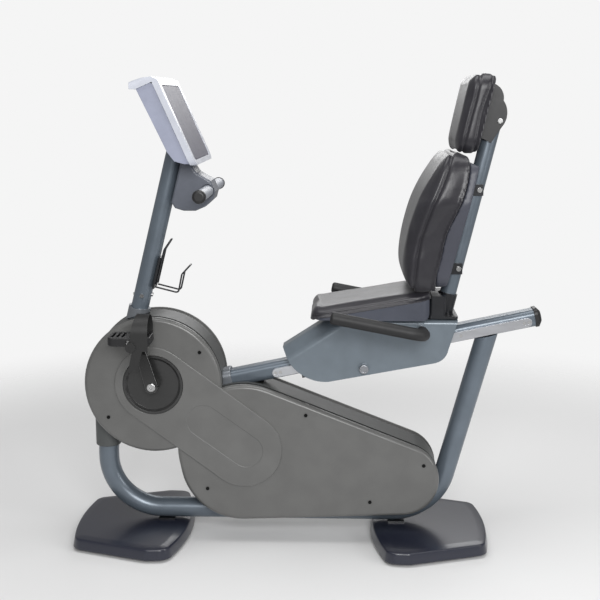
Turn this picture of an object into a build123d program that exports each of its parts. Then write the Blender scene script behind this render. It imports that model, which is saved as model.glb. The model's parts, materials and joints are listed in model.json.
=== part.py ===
from build123d import *
import os
from math import cos, radians, sin, tan

# Recumbent exercise bike, in millimetres. +X runs from the console to the seat, +Z is up, and
# -Y is the rider's left. The origin is on the floor, under the middle of the machine.

os.makedirs("parts", exist_ok=True)

# --- Driving dimensions -------------------------------------------------------------------

LENGTH = 1452.0
CRANK_X, CRANK_Z = -461.0, 511.0  # axis of the cranks
STEP_X, STEP_Z = -184.0, 306.0  # axis of the step-up shaft
FLYWHEEL_X, FLYWHEEL_Z = 120.0, 250.0
TAIL_X, TAIL_Z = 304.0, 212.0  # centre of the casing's round rear end
HUB_X, HUB_Z = -462.0, 508.0  # centre of the casing's round front end
BELLY_X, BELLY_Z = -190.0, 270.0  # centre of the casing's lower front curve

HUB_RADIUS = 212.0  # casing around the cranks
MIDDLE_RADIUS = 206.0  # casing around the step-up shaft
BELLY_RADIUS = 193.0
TAIL_RADIUS = 115.0
CASING_HALF = 95.0  # half the casing's width
COVER_WALL = 3.0
RIM_DEPTH = 17.0  # full-size part of a cover, before its recessed flange
FLANGE_INSET = 8.0
EDGE_STEP = 2.5
FLANGE_INNER = 40.0
BAND_HALF = 55.0
BAND_INSET = 2.0

TUBE_RADIUS = 31.75  # main frame tube
TUBE_WALL = 3.0
BASE_Z = 82.0  # axis of the base tube
BEND_RADIUS = 170.0
FRONT_TUBE_X = -624.0
REAR_LEAN = 14.9  # degrees from the vertical
REAR_TUBE_X, REAR_TUBE_Z = 465.0, 292.0  # a point on the rear upright's axis

MAST_LEAN = 14.15
MAST_X, MAST_Z = -512.0, 735.0  # a point on the mast's axis
MAST_RADIUS = 27.0
MAST_FOOT_Z, MAST_TOP_Z = 692.0, 1232.0

RAIL_SLOPE = 12.16  # degrees that the seat rail rises towards the rear
BEAM_X, BEAM_Z = 629.0, 697.0  # a point on the beam's centre line
BEAM_WIDTH, BEAM_HEIGHT, BEAM_WALL = 63.5, 53.0, 3.0
BEAM_CORNER = 18.0
BEAM_FRONT_X, BEAM_REAR_X = -330.0, 703.39
RAIL_HEIGHT, RAIL_THICKNESS, RAIL_DROP = 28.0, 10.0, 5.0
RAIL_FRONT_X, RAIL_REAR_X = -99.0, 692.0

CRANK_LENGTH = 170.0
CRANK_ANGLE = 15.5  # left crank, forward of the vertical
ARM_INNER, ARM_OUTER = 109.0, 127.0  # the arm's two faces, from the centre plane
PEDAL_INNER, PEDAL_OUTER = 140.0, 236.0
PEDAL_LENGTH, PEDAL_HEIGHT = 124.0, 26.0

DRIVE_PULLEY, STEP_SMALL, STEP_LARGE, FLY_SMALL = 120.0, 30.0, 90.0, 30.0
BELT_WIDTH, BELT_THICKNESS, BELT_GAP = 16.0, 2.5, 0.3
FLYWHEEL_RADIUS = 122.0
FRAME_PLATE_INNER, FRAME_PLATE_OUTER = 31.85, 37.85
BEARING_WIDTH = 12.0

CARRIAGE_HALF, CARRIAGE_WALL = 79.0, 4.0
DECK_Z = 719.0
SEAT_WIDTH = 290.0
POST_LEAN = 13.26
POST_X, POST_Z = 441.0, 792.0  # a point on the back post's axis
POST_RADIUS = 25.0
HANDLE_HALF = 252.0
GRIP_RADIUS, HANDLE_RADIUS = 18.0, 12.7

CONSOLE_TILT = 23.9  # degrees that the console's face leans back from the vertical
CONSOLE_X, CONSOLE_Z = -355.0, 1304.5  # middle of the console's face
CONSOLE_WIDTH, CONSOLE_HALF_HEIGHT = 390.0, 131.0
HANDLEBAR_X, HANDLEBAR_Z, HANDLEBAR_HALF = -289.0, 1100.0, 262.0

FOOT_HALF_WIDTH = 257.0
FOOT_TOP = 46.0
FOOT_BOTTOM = 9.0


# --- Helpers ------------------------------------------------------------------------------


def save(builder, name):
    """Labels a finished piece and writes its STEP file."""
    builder.part.label = name
    export_step(builder.part, "parts/" + name + ".step")


def side(y):
    """Plane at this Y that is drawn in X and Z, and extrudes towards -Y."""
    return Plane.XZ.offset(-y)


def hull_shape(first, first_radius, second, second_radius):
    """Outline drawn tightly around two circles."""
    with BuildSketch() as shape:
        with Locations(first):
            Circle(first_radius)
        with Locations(second):
            Circle(second_radius)
        make_hull()
    return shape.sketch


def casing_shape(inset):
    """Side view of the casing, drawn this far inside its outer edge."""
    with BuildSketch() as body:
        with Locations((STEP_X, STEP_Z)):
            Circle(MIDDLE_RADIUS - inset)
        with Locations((BELLY_X, BELLY_Z)):
            Circle(BELLY_RADIUS - inset)
        with Locations((TAIL_X, TAIL_Z)):
            Circle(TAIL_RADIUS - inset)
        make_hull()
    with BuildSketch() as shape:
        add(body.sketch)
        with Locations((HUB_X, HUB_Z)):
            Circle(HUB_RADIUS - inset)
    return shape.sketch


def beam_z(x):
    """Height of the seat beam's centre line."""
    return BEAM_Z + (x - BEAM_X) * tan(radians(RAIL_SLOPE))


def beam_plane(x, rise=0.0):
    """Plane square to the seat beam: local x is +Y, local y points up out of the beam."""
    slope = radians(RAIL_SLOPE)
    return Plane(
        origin=(x - rise * sin(slope), 0, beam_z(x) + rise * cos(slope)),
        x_dir=(0, 1, 0),
        z_dir=(cos(slope), 0, sin(slope)),
    )


def leaning_plane(x, z, lean, height):
    """Plane square to an upright that leans back, at this height on its axis."""
    angle = radians(lean)
    return Plane(
        origin=(x + (height - z) * tan(angle), 0, height),
        x_dir=(cos(angle), 0, -sin(angle)),
        z_dir=(sin(angle), 0, cos(angle)),
    )


def mast_plane(height):
    return leaning_plane(MAST_X, MAST_Z, MAST_LEAN, height)


def post_plane(height):
    return leaning_plane(POST_X, POST_Z, POST_LEAN, height)


def leaning_length(lean, low, high):
    return (high - low) / cos(radians(lean))


def console_point(depth, height):
    """Point in X and Z from its distance before the console's face and up along it."""
    angle = radians(CONSOLE_TILT)
    return (
        CONSOLE_X + depth * cos(angle) - height * sin(angle),
        CONSOLE_Z + depth * sin(angle) + height * cos(angle),
    )


def base_plane(x):
    """Plane square to the base tube, centred on its axis."""
    return Plane(origin=(x, 0, BASE_Z), x_dir=(0, 1, 0), z_dir=(1, 0, 0))


def tube_ring(radius, wall):
    """Cross-section of a round tube."""
    with BuildSketch() as ring:
        Circle(radius)
        Circle(radius - wall, mode=Mode.SUBTRACT)
    return ring.sketch


# --- Main frame ---------------------------------------------------------------------------

# The tube comes down from the mast, turns along the floor and rises again under the seat beam.
front_bend_x = FRONT_TUBE_X + BEND_RADIUS
lean = radians(REAR_LEAN)
rear_bend_z = BASE_Z + BEND_RADIUS * (1 - sin(lean))
rear_bend_x = REAR_TUBE_X - (REAR_TUBE_Z - rear_bend_z) * tan(lean)
base_rear_x = rear_bend_x - BEND_RADIUS * cos(lean)
mast_joint_z = MAST_Z - (MAST_X - FRONT_TUBE_X) / tan(radians(MAST_LEAN))
front_tube_top = mast_plane(MAST_FOOT_Z).origin
rear_tube_top_z = beam_z(560.0)
rear_tube_top_x = REAR_TUBE_X + (rear_tube_top_z - REAR_TUBE_Z) * tan(lean)

with BuildLine() as front_path:
    FilletPolyline(
        (front_tube_top.X, 0, front_tube_top.Z),
        (FRONT_TUBE_X, 0, mast_joint_z),
        (FRONT_TUBE_X, 0, BASE_Z),
        (front_bend_x, 0, BASE_Z),
        radius=[200.0, BEND_RADIUS - 0.01],
    )

with BuildLine() as base_path:
    Line((front_bend_x, 0, BASE_Z), (base_rear_x, 0, BASE_Z))

with BuildLine() as rear_path:
    rear_arc = TangentArc(
        (base_rear_x, 0, BASE_Z),
        (rear_bend_x, 0, rear_bend_z),
        tangent=(1, 0, 0),
    )
    Line(rear_arc @ 1, (rear_tube_top_x, 0, rear_tube_top_z))

with BuildPart() as front_frame_tube:
    with BuildSketch(mast_plane(MAST_FOOT_Z)):
        add(tube_ring(TUBE_RADIUS, TUBE_WALL))
    sweep(path=front_path.line)
save(front_frame_tube, "front_frame_tube")

with BuildPart() as base_tube:
    with BuildSketch(base_plane(front_bend_x)):
        add(tube_ring(TUBE_RADIUS, TUBE_WALL))
    extrude(amount=base_rear_x - front_bend_x)
save(base_tube, "base_tube")

with BuildPart() as rear_frame_tube:
    with BuildSketch(base_plane(base_rear_x)):
        add(tube_ring(TUBE_RADIUS, TUBE_WALL))
    sweep(path=rear_path.line)
    with BuildSketch(beam_plane(400.0)):
        Rectangle(BEAM_WIDTH + 4, BEAM_HEIGHT)
    extrude(amount=300, mode=Mode.SUBTRACT)
save(rear_frame_tube, "rear_frame_tube")

# Room that the casing leaves around the frame tube and the mast.
TUBE_ROOM = 2.0
with BuildPart() as frame_room:
    with BuildSketch(mast_plane(MAST_FOOT_Z)):
        Circle(TUBE_RADIUS + TUBE_ROOM)
    sweep(path=front_path.line)
    with BuildSketch(base_plane(front_bend_x)):
        Circle(TUBE_RADIUS + TUBE_ROOM)
    extrude(amount=base_rear_x - front_bend_x)
    with BuildSketch(base_plane(base_rear_x)):
        Circle(TUBE_RADIUS + TUBE_ROOM)
    sweep(path=rear_path.line)
    with BuildSketch(mast_plane(MAST_FOOT_Z)):
        Circle(TUBE_RADIUS + TUBE_ROOM)
    extrude(amount=90)


# --- Feet ---------------------------------------------------------------------------------

FOOT_OUTER_X, FOOT_INNER_X = LENGTH / 2, 360.0  # from the centre, front foot on -X
REAR_FOOT_SHIFT = -148.0  # the rear foot is the front one turned round and moved inwards
FOOT_CORNER = 42.0
SADDLE_X = -440.0  # where the front foot carries the base tube
PAD_RADIUS, PAD_HEIGHT = 24.0, 7.0
BEAM_BOTTOM, BEAM_TOP = 15.0, 34.0


def foot_outline(inset):
    """Plan of the front foot: bowed outer end, slanted sides and a bulging inner edge."""
    outer, inner = -FOOT_OUTER_X, -FOOT_INNER_X
    with BuildSketch() as plan:
        with BuildLine():
            bow = ThreePointArc((outer + 20, 178), (outer, 0), (outer + 20, -178))
            near = Line(bow @ 1, (outer + 255, -FOOT_HALF_WIDTH))
            corner = Line(near @ 1, (inner - 44, -FOOT_HALF_WIDTH + 4))
            bulge = ThreePointArc(corner @ 1, (inner, 0), (inner - 44, FOOT_HALF_WIDTH - 4))
            far = Line(bulge @ 1, (outer + 255, FOOT_HALF_WIDTH))
            Line(far @ 1, bow @ 0)
        make_face()
        fillet(plan.vertices(), radius=FOOT_CORNER)
        if inset:
            offset(amount=-inset, mode=Mode.REPLACE)
    return plan.sketch


def turned_round(shape):
    """The front foot's piece as it stands under the rear of the machine."""
    turned = mirror(shape, about=Plane.YZ, mode=Mode.PRIVATE)
    return turned.moved(Location((REAR_FOOT_SHIFT, 0, 0)))


with BuildPart() as front_foot_cover:
    for low, low_inset, high, high_inset in (
        (FOOT_BOTTOM, 0, FOOT_TOP - 7, 12),
        (FOOT_TOP - 7, 12, FOOT_TOP, 28),
    ):
        with BuildSketch(Plane.XY.offset(low)):
            add(foot_outline(low_inset))
        with BuildSketch(Plane.XY.offset(high)):
            add(foot_outline(high_inset))
        loft()
    with BuildSketch(Plane.XY.offset(FOOT_BOTTOM)):
        add(foot_outline(20))
    extrude(amount=FOOT_TOP - FOOT_BOTTOM - 6, mode=Mode.SUBTRACT)
    with BuildSketch(Plane.XY.offset(FOOT_TOP - 8)):
        with Locations((SADDLE_X, 0)):
            Rectangle(62, 52)
    extrude(amount=10, mode=Mode.SUBTRACT)
save(front_foot_cover, "front_foot_cover")

rear_foot_shape = turned_round(front_foot_cover.part)
with BuildPart() as rear_foot_cover:
    add(rear_foot_shape)
save(rear_foot_cover, "rear_foot_cover")

# Steel beams under each cover carry the frame tube on a saddle and stand on four pads.
OUTER_BEAM_X = -672.0
INNER_PAD_Y, OUTER_PAD_Y = 206.0, 140.0
with BuildPart() as front_beams:
    with BuildSketch(Plane.XY.offset(BEAM_BOTTOM)):
        with Locations((SADDLE_X, 0)):
            Rectangle(52, 2 * INNER_PAD_Y + 40)
        with Locations((OUTER_BEAM_X, 0)):
            Rectangle(44, 2 * OUTER_PAD_Y + 40)
        with Locations(((OUTER_BEAM_X + SADDLE_X) / 2, 0)):
            Rectangle(SADDLE_X - OUTER_BEAM_X, 40)
        add(foot_outline(21), mode=Mode.INTERSECT)
    extrude(amount=BEAM_TOP - BEAM_BOTTOM)
    with BuildSketch(Plane.XY.offset(BEAM_TOP)):
        with Locations((SADDLE_X, 0)):
            Rectangle(52, 44)
    extrude(amount=BASE_Z - TUBE_RADIUS - BEAM_TOP)
rear_beams_shape = turned_round(front_beams.part)
with BuildPart() as cross_beams:
    add(front_beams.part)
    add(rear_beams_shape)
save(cross_beams, "cross_beams")

with BuildPart() as front_pads:
    with BuildSketch():
        for pad_x, pad_y in ((SADDLE_X, INNER_PAD_Y), (OUTER_BEAM_X, OUTER_PAD_Y)):
            with Locations((pad_x, pad_y), (pad_x, -pad_y)):
                Circle(PAD_RADIUS)
    extrude(amount=PAD_HEIGHT)
    fillet(front_pads.edges().group_by(Axis.Z)[-1], radius=2)
    with BuildSketch(Plane.XY.offset(PAD_HEIGHT)):
        for pad_x, pad_y in ((SADDLE_X, INNER_PAD_Y), (OUTER_BEAM_X, OUTER_PAD_Y)):
            with Locations((pad_x, pad_y), (pad_x, -pad_y)):
                Circle(6)
    extrude(amount=BEAM_BOTTOM - PAD_HEIGHT)
rear_pads_shape = turned_round(front_pads.part)
with BuildPart() as levelling_feet:
    add(front_pads.part)
    add(rear_pads_shape)
save(levelling_feet, "levelling_feet")


# --- Mast ---------------------------------------------------------------------------------

mast_length = leaning_length(MAST_LEAN, MAST_FOOT_Z, MAST_TOP_Z)
with BuildPart() as mast_tube:
    with BuildSketch(mast_plane(MAST_FOOT_Z)):
        add(tube_ring(MAST_RADIUS, 2.5))
    extrude(amount=mast_length)
save(mast_tube, "mast_tube")

# The collar hides the joint of mast and frame, and rises into a lip on its front side.
COLLAR_RADIUS, COLLAR_WALL_GAP = 34.0, 0.1
with BuildPart() as mast_collar:
    with BuildSketch(mast_plane(MAST_FOOT_Z)):
        Circle(COLLAR_RADIUS)
    extrude(amount=76)
    with BuildSketch(mast_plane(MAST_FOOT_Z)):
        Circle(MAST_RADIUS + COLLAR_WALL_GAP)
    extrude(amount=90, mode=Mode.SUBTRACT)
    with BuildSketch(Plane.XZ.offset(60)):
        with BuildLine():
            Polyline((-560, 770), (-546, 748), (-528, 736), (-440, 728), (-440, 800), (-560, 800), close=True)
        make_face()
    extrude(amount=-120, mode=Mode.SUBTRACT)
    with BuildSketch(side(CASING_HALF)):
        add(casing_shape(-0.5))
    extrude(amount=2 * CASING_HALF, mode=Mode.SUBTRACT)
save(mast_collar, "mast_collar")

with BuildPart() as front_tube_boot:
    with BuildSketch(Plane.XY.offset(292)):
        with Locations((FRONT_TUBE_X, 0)):
            Circle(39)
    extrude(amount=170)
    fillet(front_tube_boot.edges().group_by(Axis.Z)[0], radius=2.5)
    with BuildSketch(Plane.XY.offset(292)):
        with Locations((FRONT_TUBE_X, 0)):
            Circle(TUBE_RADIUS + 0.1)
    extrude(amount=170, mode=Mode.SUBTRACT)
    with BuildSketch(mast_plane(mast_joint_z)):
        Circle(TUBE_RADIUS + 1)
    extrude(amount=200, mode=Mode.SUBTRACT)
    with BuildSketch(side(CASING_HALF)):
        add(casing_shape(-0.5))
    extrude(amount=2 * CASING_HALF, mode=Mode.SUBTRACT)
save(front_tube_boot, "front_tube_boot")

# --- Seat rail ----------------------------------------------------------------------------

slope = radians(RAIL_SLOPE)
beam_length = (BEAM_REAR_X - BEAM_FRONT_X) / cos(slope)
with BuildPart() as rail_beam:
    with BuildSketch(beam_plane(BEAM_FRONT_X)):
        RectangleRounded(BEAM_WIDTH, BEAM_HEIGHT, BEAM_CORNER)
        RectangleRounded(
            BEAM_WIDTH - 2 * BEAM_WALL,
            BEAM_HEIGHT - 2 * BEAM_WALL,
            BEAM_CORNER - BEAM_WALL,
            mode=Mode.SUBTRACT,
        )
    extrude(amount=beam_length)
save(rail_beam, "rail_beam")

with BuildPart() as beam_end_cap:
    with BuildSketch(beam_plane(BEAM_REAR_X)):
        RectangleRounded(BEAM_WIDTH + 5, BEAM_HEIGHT + 6, BEAM_CORNER + 2)
    extrude(amount=10)
    with BuildSketch(beam_plane(BEAM_REAR_X + 10 * cos(slope))):
        RectangleRounded(BEAM_WIDTH + 5, BEAM_HEIGHT + 6, BEAM_CORNER + 2)
    with BuildSketch(beam_plane(BEAM_REAR_X + 20 * cos(slope))):
        RectangleRounded(BEAM_WIDTH - 20, BEAM_HEIGHT - 20, BEAM_CORNER - 4)
    loft()
    with BuildSketch(beam_plane(BEAM_REAR_X)):
        plug_gap = 2 * BEAM_WALL + 0.2
        RectangleRounded(BEAM_WIDTH - plug_gap, BEAM_HEIGHT - plug_gap, BEAM_CORNER - BEAM_WALL)
    extrude(amount=-22)
save(beam_end_cap, "beam_end_cap")

BEAM_COLLAR_X, BEAM_COLLAR_LENGTH = -277.0, 54.0
with BuildPart() as beam_collar:
    with BuildSketch(beam_plane(BEAM_COLLAR_X)):
        RectangleRounded(BEAM_WIDTH + 16, BEAM_HEIGHT + 14, BEAM_CORNER + 5)
        RectangleRounded(BEAM_WIDTH + 0.2, BEAM_HEIGHT + 0.2, BEAM_CORNER, mode=Mode.SUBTRACT)
    extrude(amount=BEAM_COLLAR_LENGTH)
    chamfer(beam_collar.edges().filter_by(lambda e: e.center().X > -226), length=2)
save(beam_collar, "beam_collar")

# Round-ended aluminium rails lie along the beam's two sides, on screws set flush.
rail_middle_x = (RAIL_FRONT_X + RAIL_REAR_X) / 2
rail_length = (RAIL_REAR_X - RAIL_FRONT_X) / cos(slope)
rail_centre = (rail_middle_x + RAIL_DROP * sin(slope), beam_z(rail_middle_x) - RAIL_DROP * cos(slope))
SCREW_STATIONS = (10.0, 25.0, 270.0, 590.0, rail_length - 24.0, rail_length - 9.0)


def rail_spot(station):
    """Point in X and Z on the rail's centre line, at this distance from its front end."""
    along = station - rail_length / 2
    return (rail_centre[0] + along * cos(slope), rail_centre[1] + along * sin(slope))


rail_spots = [rail_spot(station) for station in SCREW_STATIONS]
with BuildPart() as left_rail:
    with BuildSketch(side(-BEAM_WIDTH / 2)):
        with Locations(rail_centre):
            SlotOverall(rail_length, RAIL_HEIGHT, rotation=RAIL_SLOPE)
    extrude(amount=RAIL_THICKNESS)
    with BuildSketch(side(-BEAM_WIDTH / 2 - RAIL_THICKNESS + 3)):
        with Locations(*rail_spots):
            Circle(5.2)
    extrude(amount=4, mode=Mode.SUBTRACT)
    with BuildSketch(side(-BEAM_WIDTH / 2)):
        with Locations(*rail_spots):
            Circle(3)
    extrude(amount=RAIL_THICKNESS, mode=Mode.SUBTRACT)
with BuildPart() as guide_rails:
    add(left_rail.part)
    mirror(left_rail.part, about=Plane.XZ)
save(guide_rails, "guide_rails")

LOCK_BAR_X, LOCK_BAR_REAR_X, LOCK_BAR_DEPTH = 60.0, 424.0, 24.0
with BuildPart() as lock_bar:
    with BuildSketch(beam_plane(LOCK_BAR_X)):
        with Locations((-BEAM_WIDTH / 2 + 9, -(BEAM_HEIGHT + LOCK_BAR_DEPTH) / 2)):
            Rectangle(6, LOCK_BAR_DEPTH)
    extrude(amount=(LOCK_BAR_REAR_X - LOCK_BAR_X) / cos(slope))
save(lock_bar, "lock_bar")

# --- Casing -------------------------------------------------------------------------------

DISC_HOLE = 92.5
COVER_SCREWS = ((-316, 614), (-601, 407), (-298, 180), (7, 419), (206, 142), (370, 262))
cover_face = CASING_HALF - COVER_WALL
rim_back = CASING_HALF - RIM_DEPTH

flange_inner_inset = FLANGE_INSET + COVER_WALL
with BuildPart() as left_cover:
    with BuildSketch(side(-cover_face)):
        add(casing_shape(EDGE_STEP))
        with Locations((CRANK_X, CRANK_Z)):
            Circle(DISC_HOLE, mode=Mode.SUBTRACT)
        with Locations(*COVER_SCREWS):
            Circle(2.6, mode=Mode.SUBTRACT)
    extrude(amount=COVER_WALL)
    with BuildSketch(side(-rim_back)):
        add(casing_shape(0))
        add(casing_shape(flange_inner_inset), mode=Mode.SUBTRACT)
    extrude(amount=RIM_DEPTH - COVER_WALL)
    with BuildSketch(side(-FLANGE_INNER)):
        add(casing_shape(FLANGE_INSET))
        add(casing_shape(flange_inner_inset), mode=Mode.SUBTRACT)
    extrude(amount=rim_back - FLANGE_INNER)
save(left_cover, "left_cover")

right_cover_shape = mirror(left_cover.part, about=Plane.XZ)
with BuildPart() as right_cover:
    add(right_cover_shape)
save(right_cover, "right_cover")



def lug_shape(growth):
    """Side view of the two lugs that reach down to the base tube."""
    with BuildSketch() as shape:
        add(hull_shape((STEP_X, STEP_Z), 30 + growth, (-215, BASE_Z + 14), 20 + growth))
        add(hull_shape((FLYWHEEL_X, FLYWHEEL_Z), 30 + growth, (150, BASE_Z + 16), 20 + growth))
    return shape.sketch


lug_room_depth = FRAME_PLATE_OUTER - FRAME_PLATE_INNER + 1
with BuildPart() as casing_band:
    with BuildSketch(side(BAND_HALF)):
        add(casing_shape(BAND_INSET))
    extrude(amount=2 * BAND_HALF)
    with BuildSketch(side(BAND_HALF)):
        add(casing_shape(BAND_INSET + COVER_WALL))
    extrude(amount=2 * BAND_HALF, mode=Mode.SUBTRACT)
    add(frame_room.part, mode=Mode.SUBTRACT)
    with BuildSketch(beam_plane(BEAM_COLLAR_X - 60)):
        RectangleRounded(BEAM_WIDTH + 17, BEAM_HEIGHT + 15, 11)
    extrude(amount=260, mode=Mode.SUBTRACT)
    for lug_y in (-FRAME_PLATE_INNER + 0.5, FRAME_PLATE_OUTER + 0.5):
        with BuildSketch(side(lug_y)):
            add(lug_shape(0.5))
        extrude(amount=lug_room_depth, mode=Mode.SUBTRACT)
save(casing_band, "casing_band")

# A raised stadium-shaped cover over the belt, with an oblong recess left blank.
BELT_COVER_RADIUS, BELT_COVER_DEPTH = 118.0, 4.0
with BuildPart() as left_belt_cover:
    with BuildSketch(side(-CASING_HALF)):
        add(hull_shape((CRANK_X, CRANK_Z), BELT_COVER_RADIUS, (STEP_X, STEP_Z), BELT_COVER_RADIUS))
        with Locations((CRANK_X, CRANK_Z)):
            Circle(DISC_HOLE, mode=Mode.SUBTRACT)
    extrude(amount=BELT_COVER_DEPTH)
    outer_face = left_belt_cover.faces().sort_by(Axis.Y)[0]
    fillet(outer_face.outer_wire().edges(), radius=2.5)
    with BuildSketch(side(-CASING_HALF - BELT_COVER_DEPTH + 1.4)):
        add(hull_shape((-308, 398), 51, (-176, 303), 51))
    extrude(amount=3, mode=Mode.SUBTRACT)
with BuildPart() as belt_covers:
    add(left_belt_cover.part)
    mirror(left_belt_cover.part, about=Plane.XZ)
save(belt_covers, "belt_covers")

# --- Drive inside the casing --------------------------------------------------------------

AXLE_RADIUS, BEARING_RADIUS = 10.0, 21.0
SHAFT_SPOTS = ((CRANK_X, CRANK_Z), (STEP_X, STEP_Z), (FLYWHEEL_X, FLYWHEEL_Z))
FIT = 0.05

COIL_SPOT = (253, 262)
with BuildPart() as left_plate:
    with BuildSketch(side(-FRAME_PLATE_INNER)):
        add(hull_shape(SHAFT_SPOTS[0], 40, SHAFT_SPOTS[1], 36))
        add(hull_shape(SHAFT_SPOTS[1], 36, SHAFT_SPOTS[2], 34))
        add(hull_shape(SHAFT_SPOTS[0], 34, COVER_SCREWS[1], 20))
        add(hull_shape(SHAFT_SPOTS[2], 34, COIL_SPOT, 20))
        add(lug_shape(0))
        with Locations(*SHAFT_SPOTS):
            Circle(BEARING_RADIUS, mode=Mode.SUBTRACT)
    extrude(amount=FRAME_PLATE_OUTER - FRAME_PLATE_INNER)

# Six standoffs tie the two covers together through their screws.
with BuildPart() as cover_standoffs:
    with BuildSketch(side(cover_face)):
        with Locations(*COVER_SCREWS):
            Circle(6)
    extrude(amount=2 * cover_face)
    with BuildSketch(side(CASING_HALF)):
        with Locations(*COVER_SCREWS):
            Circle(2.5)
    extrude(amount=2 * CASING_HALF, mode=Mode.SUBTRACT)
    add(frame_room.part, mode=Mode.SUBTRACT)

with BuildPart() as drive_frame:
    add(left_plate.part)
    mirror(left_plate.part, about=Plane.XZ)
    add(cover_standoffs.part)
save(drive_frame, "drive_frame")

with BuildPart() as left_bearings:
    with BuildSketch(side(-FRAME_PLATE_INNER + 3)):
        with Locations(*SHAFT_SPOTS):
            Circle(BEARING_RADIUS)
            Circle(AXLE_RADIUS + FIT, mode=Mode.SUBTRACT)
    extrude(amount=BEARING_WIDTH)
with BuildPart() as bearings:
    add(left_bearings.part)
    mirror(left_bearings.part, about=Plane.XZ)
save(bearings, "bearings")

PRIMARY_Y = -56.0  # middle of the belt from the cranks, on the left
SECONDARY_Y = 56.0


def belt_shape(first, first_radius, second, second_radius):
    """Closed belt standing just clear of its two pulleys."""
    outer = BELT_GAP + BELT_THICKNESS
    loop = hull_shape(first, first_radius + outer, second, second_radius + outer)
    room = hull_shape(first, first_radius + BELT_GAP, second, second_radius + BELT_GAP)
    with BuildSketch() as shape:
        add(loop)
        add(room, mode=Mode.SUBTRACT)
    return shape.sketch


with BuildPart() as drive_belts:
    with BuildSketch(side(PRIMARY_Y + BELT_WIDTH / 2)):
        add(belt_shape(SHAFT_SPOTS[0], DRIVE_PULLEY, SHAFT_SPOTS[1], STEP_SMALL))
    extrude(amount=BELT_WIDTH)
    with BuildSketch(side(SECONDARY_Y + BELT_WIDTH / 2)):
        add(belt_shape(SHAFT_SPOTS[1], STEP_LARGE, SHAFT_SPOTS[2], FLY_SMALL))
    extrude(amount=BELT_WIDTH)
save(drive_belts, "drive_belts")

# The brake coil's two poles reach over the flywheel's rim.
with BuildPart() as brake_coil:
    with BuildSketch(Plane.YZ.offset(236)):
        with Locations((0, COIL_SPOT[1])):
            Rectangle(2 * FRAME_PLATE_INNER - 0.1, 62)
    extrude(amount=34)
    with BuildSketch(Plane.YZ.offset(210)):
        with Locations((0, COIL_SPOT[1])):
            Rectangle(2 * FRAME_PLATE_INNER - 0.1, 52)
            Rectangle(36, 60, mode=Mode.SUBTRACT)
    extrude(amount=60)
    with BuildSketch(side(18)):
        with Locations((FLYWHEEL_X, FLYWHEEL_Z)):
            Circle(FLYWHEEL_RADIUS + 4)
    extrude(amount=36, mode=Mode.SUBTRACT)
save(brake_coil, "brake_coil")


def pulley(radius, bore, y, holes):
    """Flanged belt pulley centred at this Y, around the origin's Y axis."""
    half = BELT_WIDTH / 2 + 3.5
    with BuildPart() as wheel:
        with BuildSketch(side(y + half - 1)):
            Circle(radius)
        extrude(amount=2 * half - 2)
        for flange_y in (y + half, y - half + 3):
            with BuildSketch(side(flange_y)):
                Circle(radius + 4)
            extrude(amount=3)
        if holes:
            with BuildSketch(side(y + half)):
                with PolarLocations(radius * 0.62, holes):
                    Circle(radius * 0.22)
            extrude(amount=2 * half, mode=Mode.SUBTRACT)
        with BuildSketch(side(y + half)):
            Circle(bore)
        extrude(amount=2 * half, mode=Mode.SUBTRACT)
    return wheel.part


def at_axle(shape, spot):
    return shape.moved(Location((spot[0], 0, spot[1])))


drive_wheel = at_axle(pulley(DRIVE_PULLEY, AXLE_RADIUS, PRIMARY_Y, 5), SHAFT_SPOTS[0])
with BuildPart() as drive_pulley:
    add(drive_wheel)
save(drive_pulley, "drive_pulley")

small_wheel = at_axle(pulley(STEP_SMALL, AXLE_RADIUS - 1, PRIMARY_Y, 0), SHAFT_SPOTS[1])
large_wheel = at_axle(pulley(STEP_LARGE, AXLE_RADIUS - 1, SECONDARY_Y, 5), SHAFT_SPOTS[1])
with BuildPart() as step_up_shaft:
    with BuildSketch(side(70)):
        with Locations(SHAFT_SPOTS[1]):
            Circle(AXLE_RADIUS)
    extrude(amount=140)
    add(small_wheel)
    add(large_wheel)
save(step_up_shaft, "step_up_shaft")

fly_wheel_pulley = at_axle(pulley(FLY_SMALL, AXLE_RADIUS - 1, SECONDARY_Y, 0), SHAFT_SPOTS[2])
with BuildPart() as flywheel_shaft:
    with BuildSketch(side(70)):
        with Locations(SHAFT_SPOTS[2]):
            Circle(AXLE_RADIUS)
    extrude(amount=116)
    add(fly_wheel_pulley)
save(flywheel_shaft, "flywheel_shaft")

with BuildPart() as flywheel:
    with BuildSketch(side(13)):
        with Locations(SHAFT_SPOTS[2]):
            Circle(FLYWHEEL_RADIUS)
            Circle(AXLE_RADIUS, mode=Mode.SUBTRACT)
    extrude(amount=26)
    for face_y, depth in ((13, 8), (-5, 8)):
        with BuildSketch(side(face_y)):
            with Locations(SHAFT_SPOTS[2]):
                Circle(FLYWHEEL_RADIUS - 30)
                Circle(28, mode=Mode.SUBTRACT)
        extrude(amount=depth, mode=Mode.SUBTRACT)
save(flywheel, "flywheel")

# --- Crankset -----------------------------------------------------------------------------

crank_angle = radians(CRANK_ANGLE)
pedal_offset = (-CRANK_LENGTH * sin(crank_angle), CRANK_LENGTH * cos(crank_angle))
LEFT_SPINDLE = (CRANK_X + pedal_offset[0], CRANK_Z + pedal_offset[1])
RIGHT_SPINDLE = (CRANK_X - pedal_offset[0], CRANK_Z - pedal_offset[1])
SPINDLE_ROOT, SPINDLE_RADIUS = 7.0, 6.0




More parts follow.
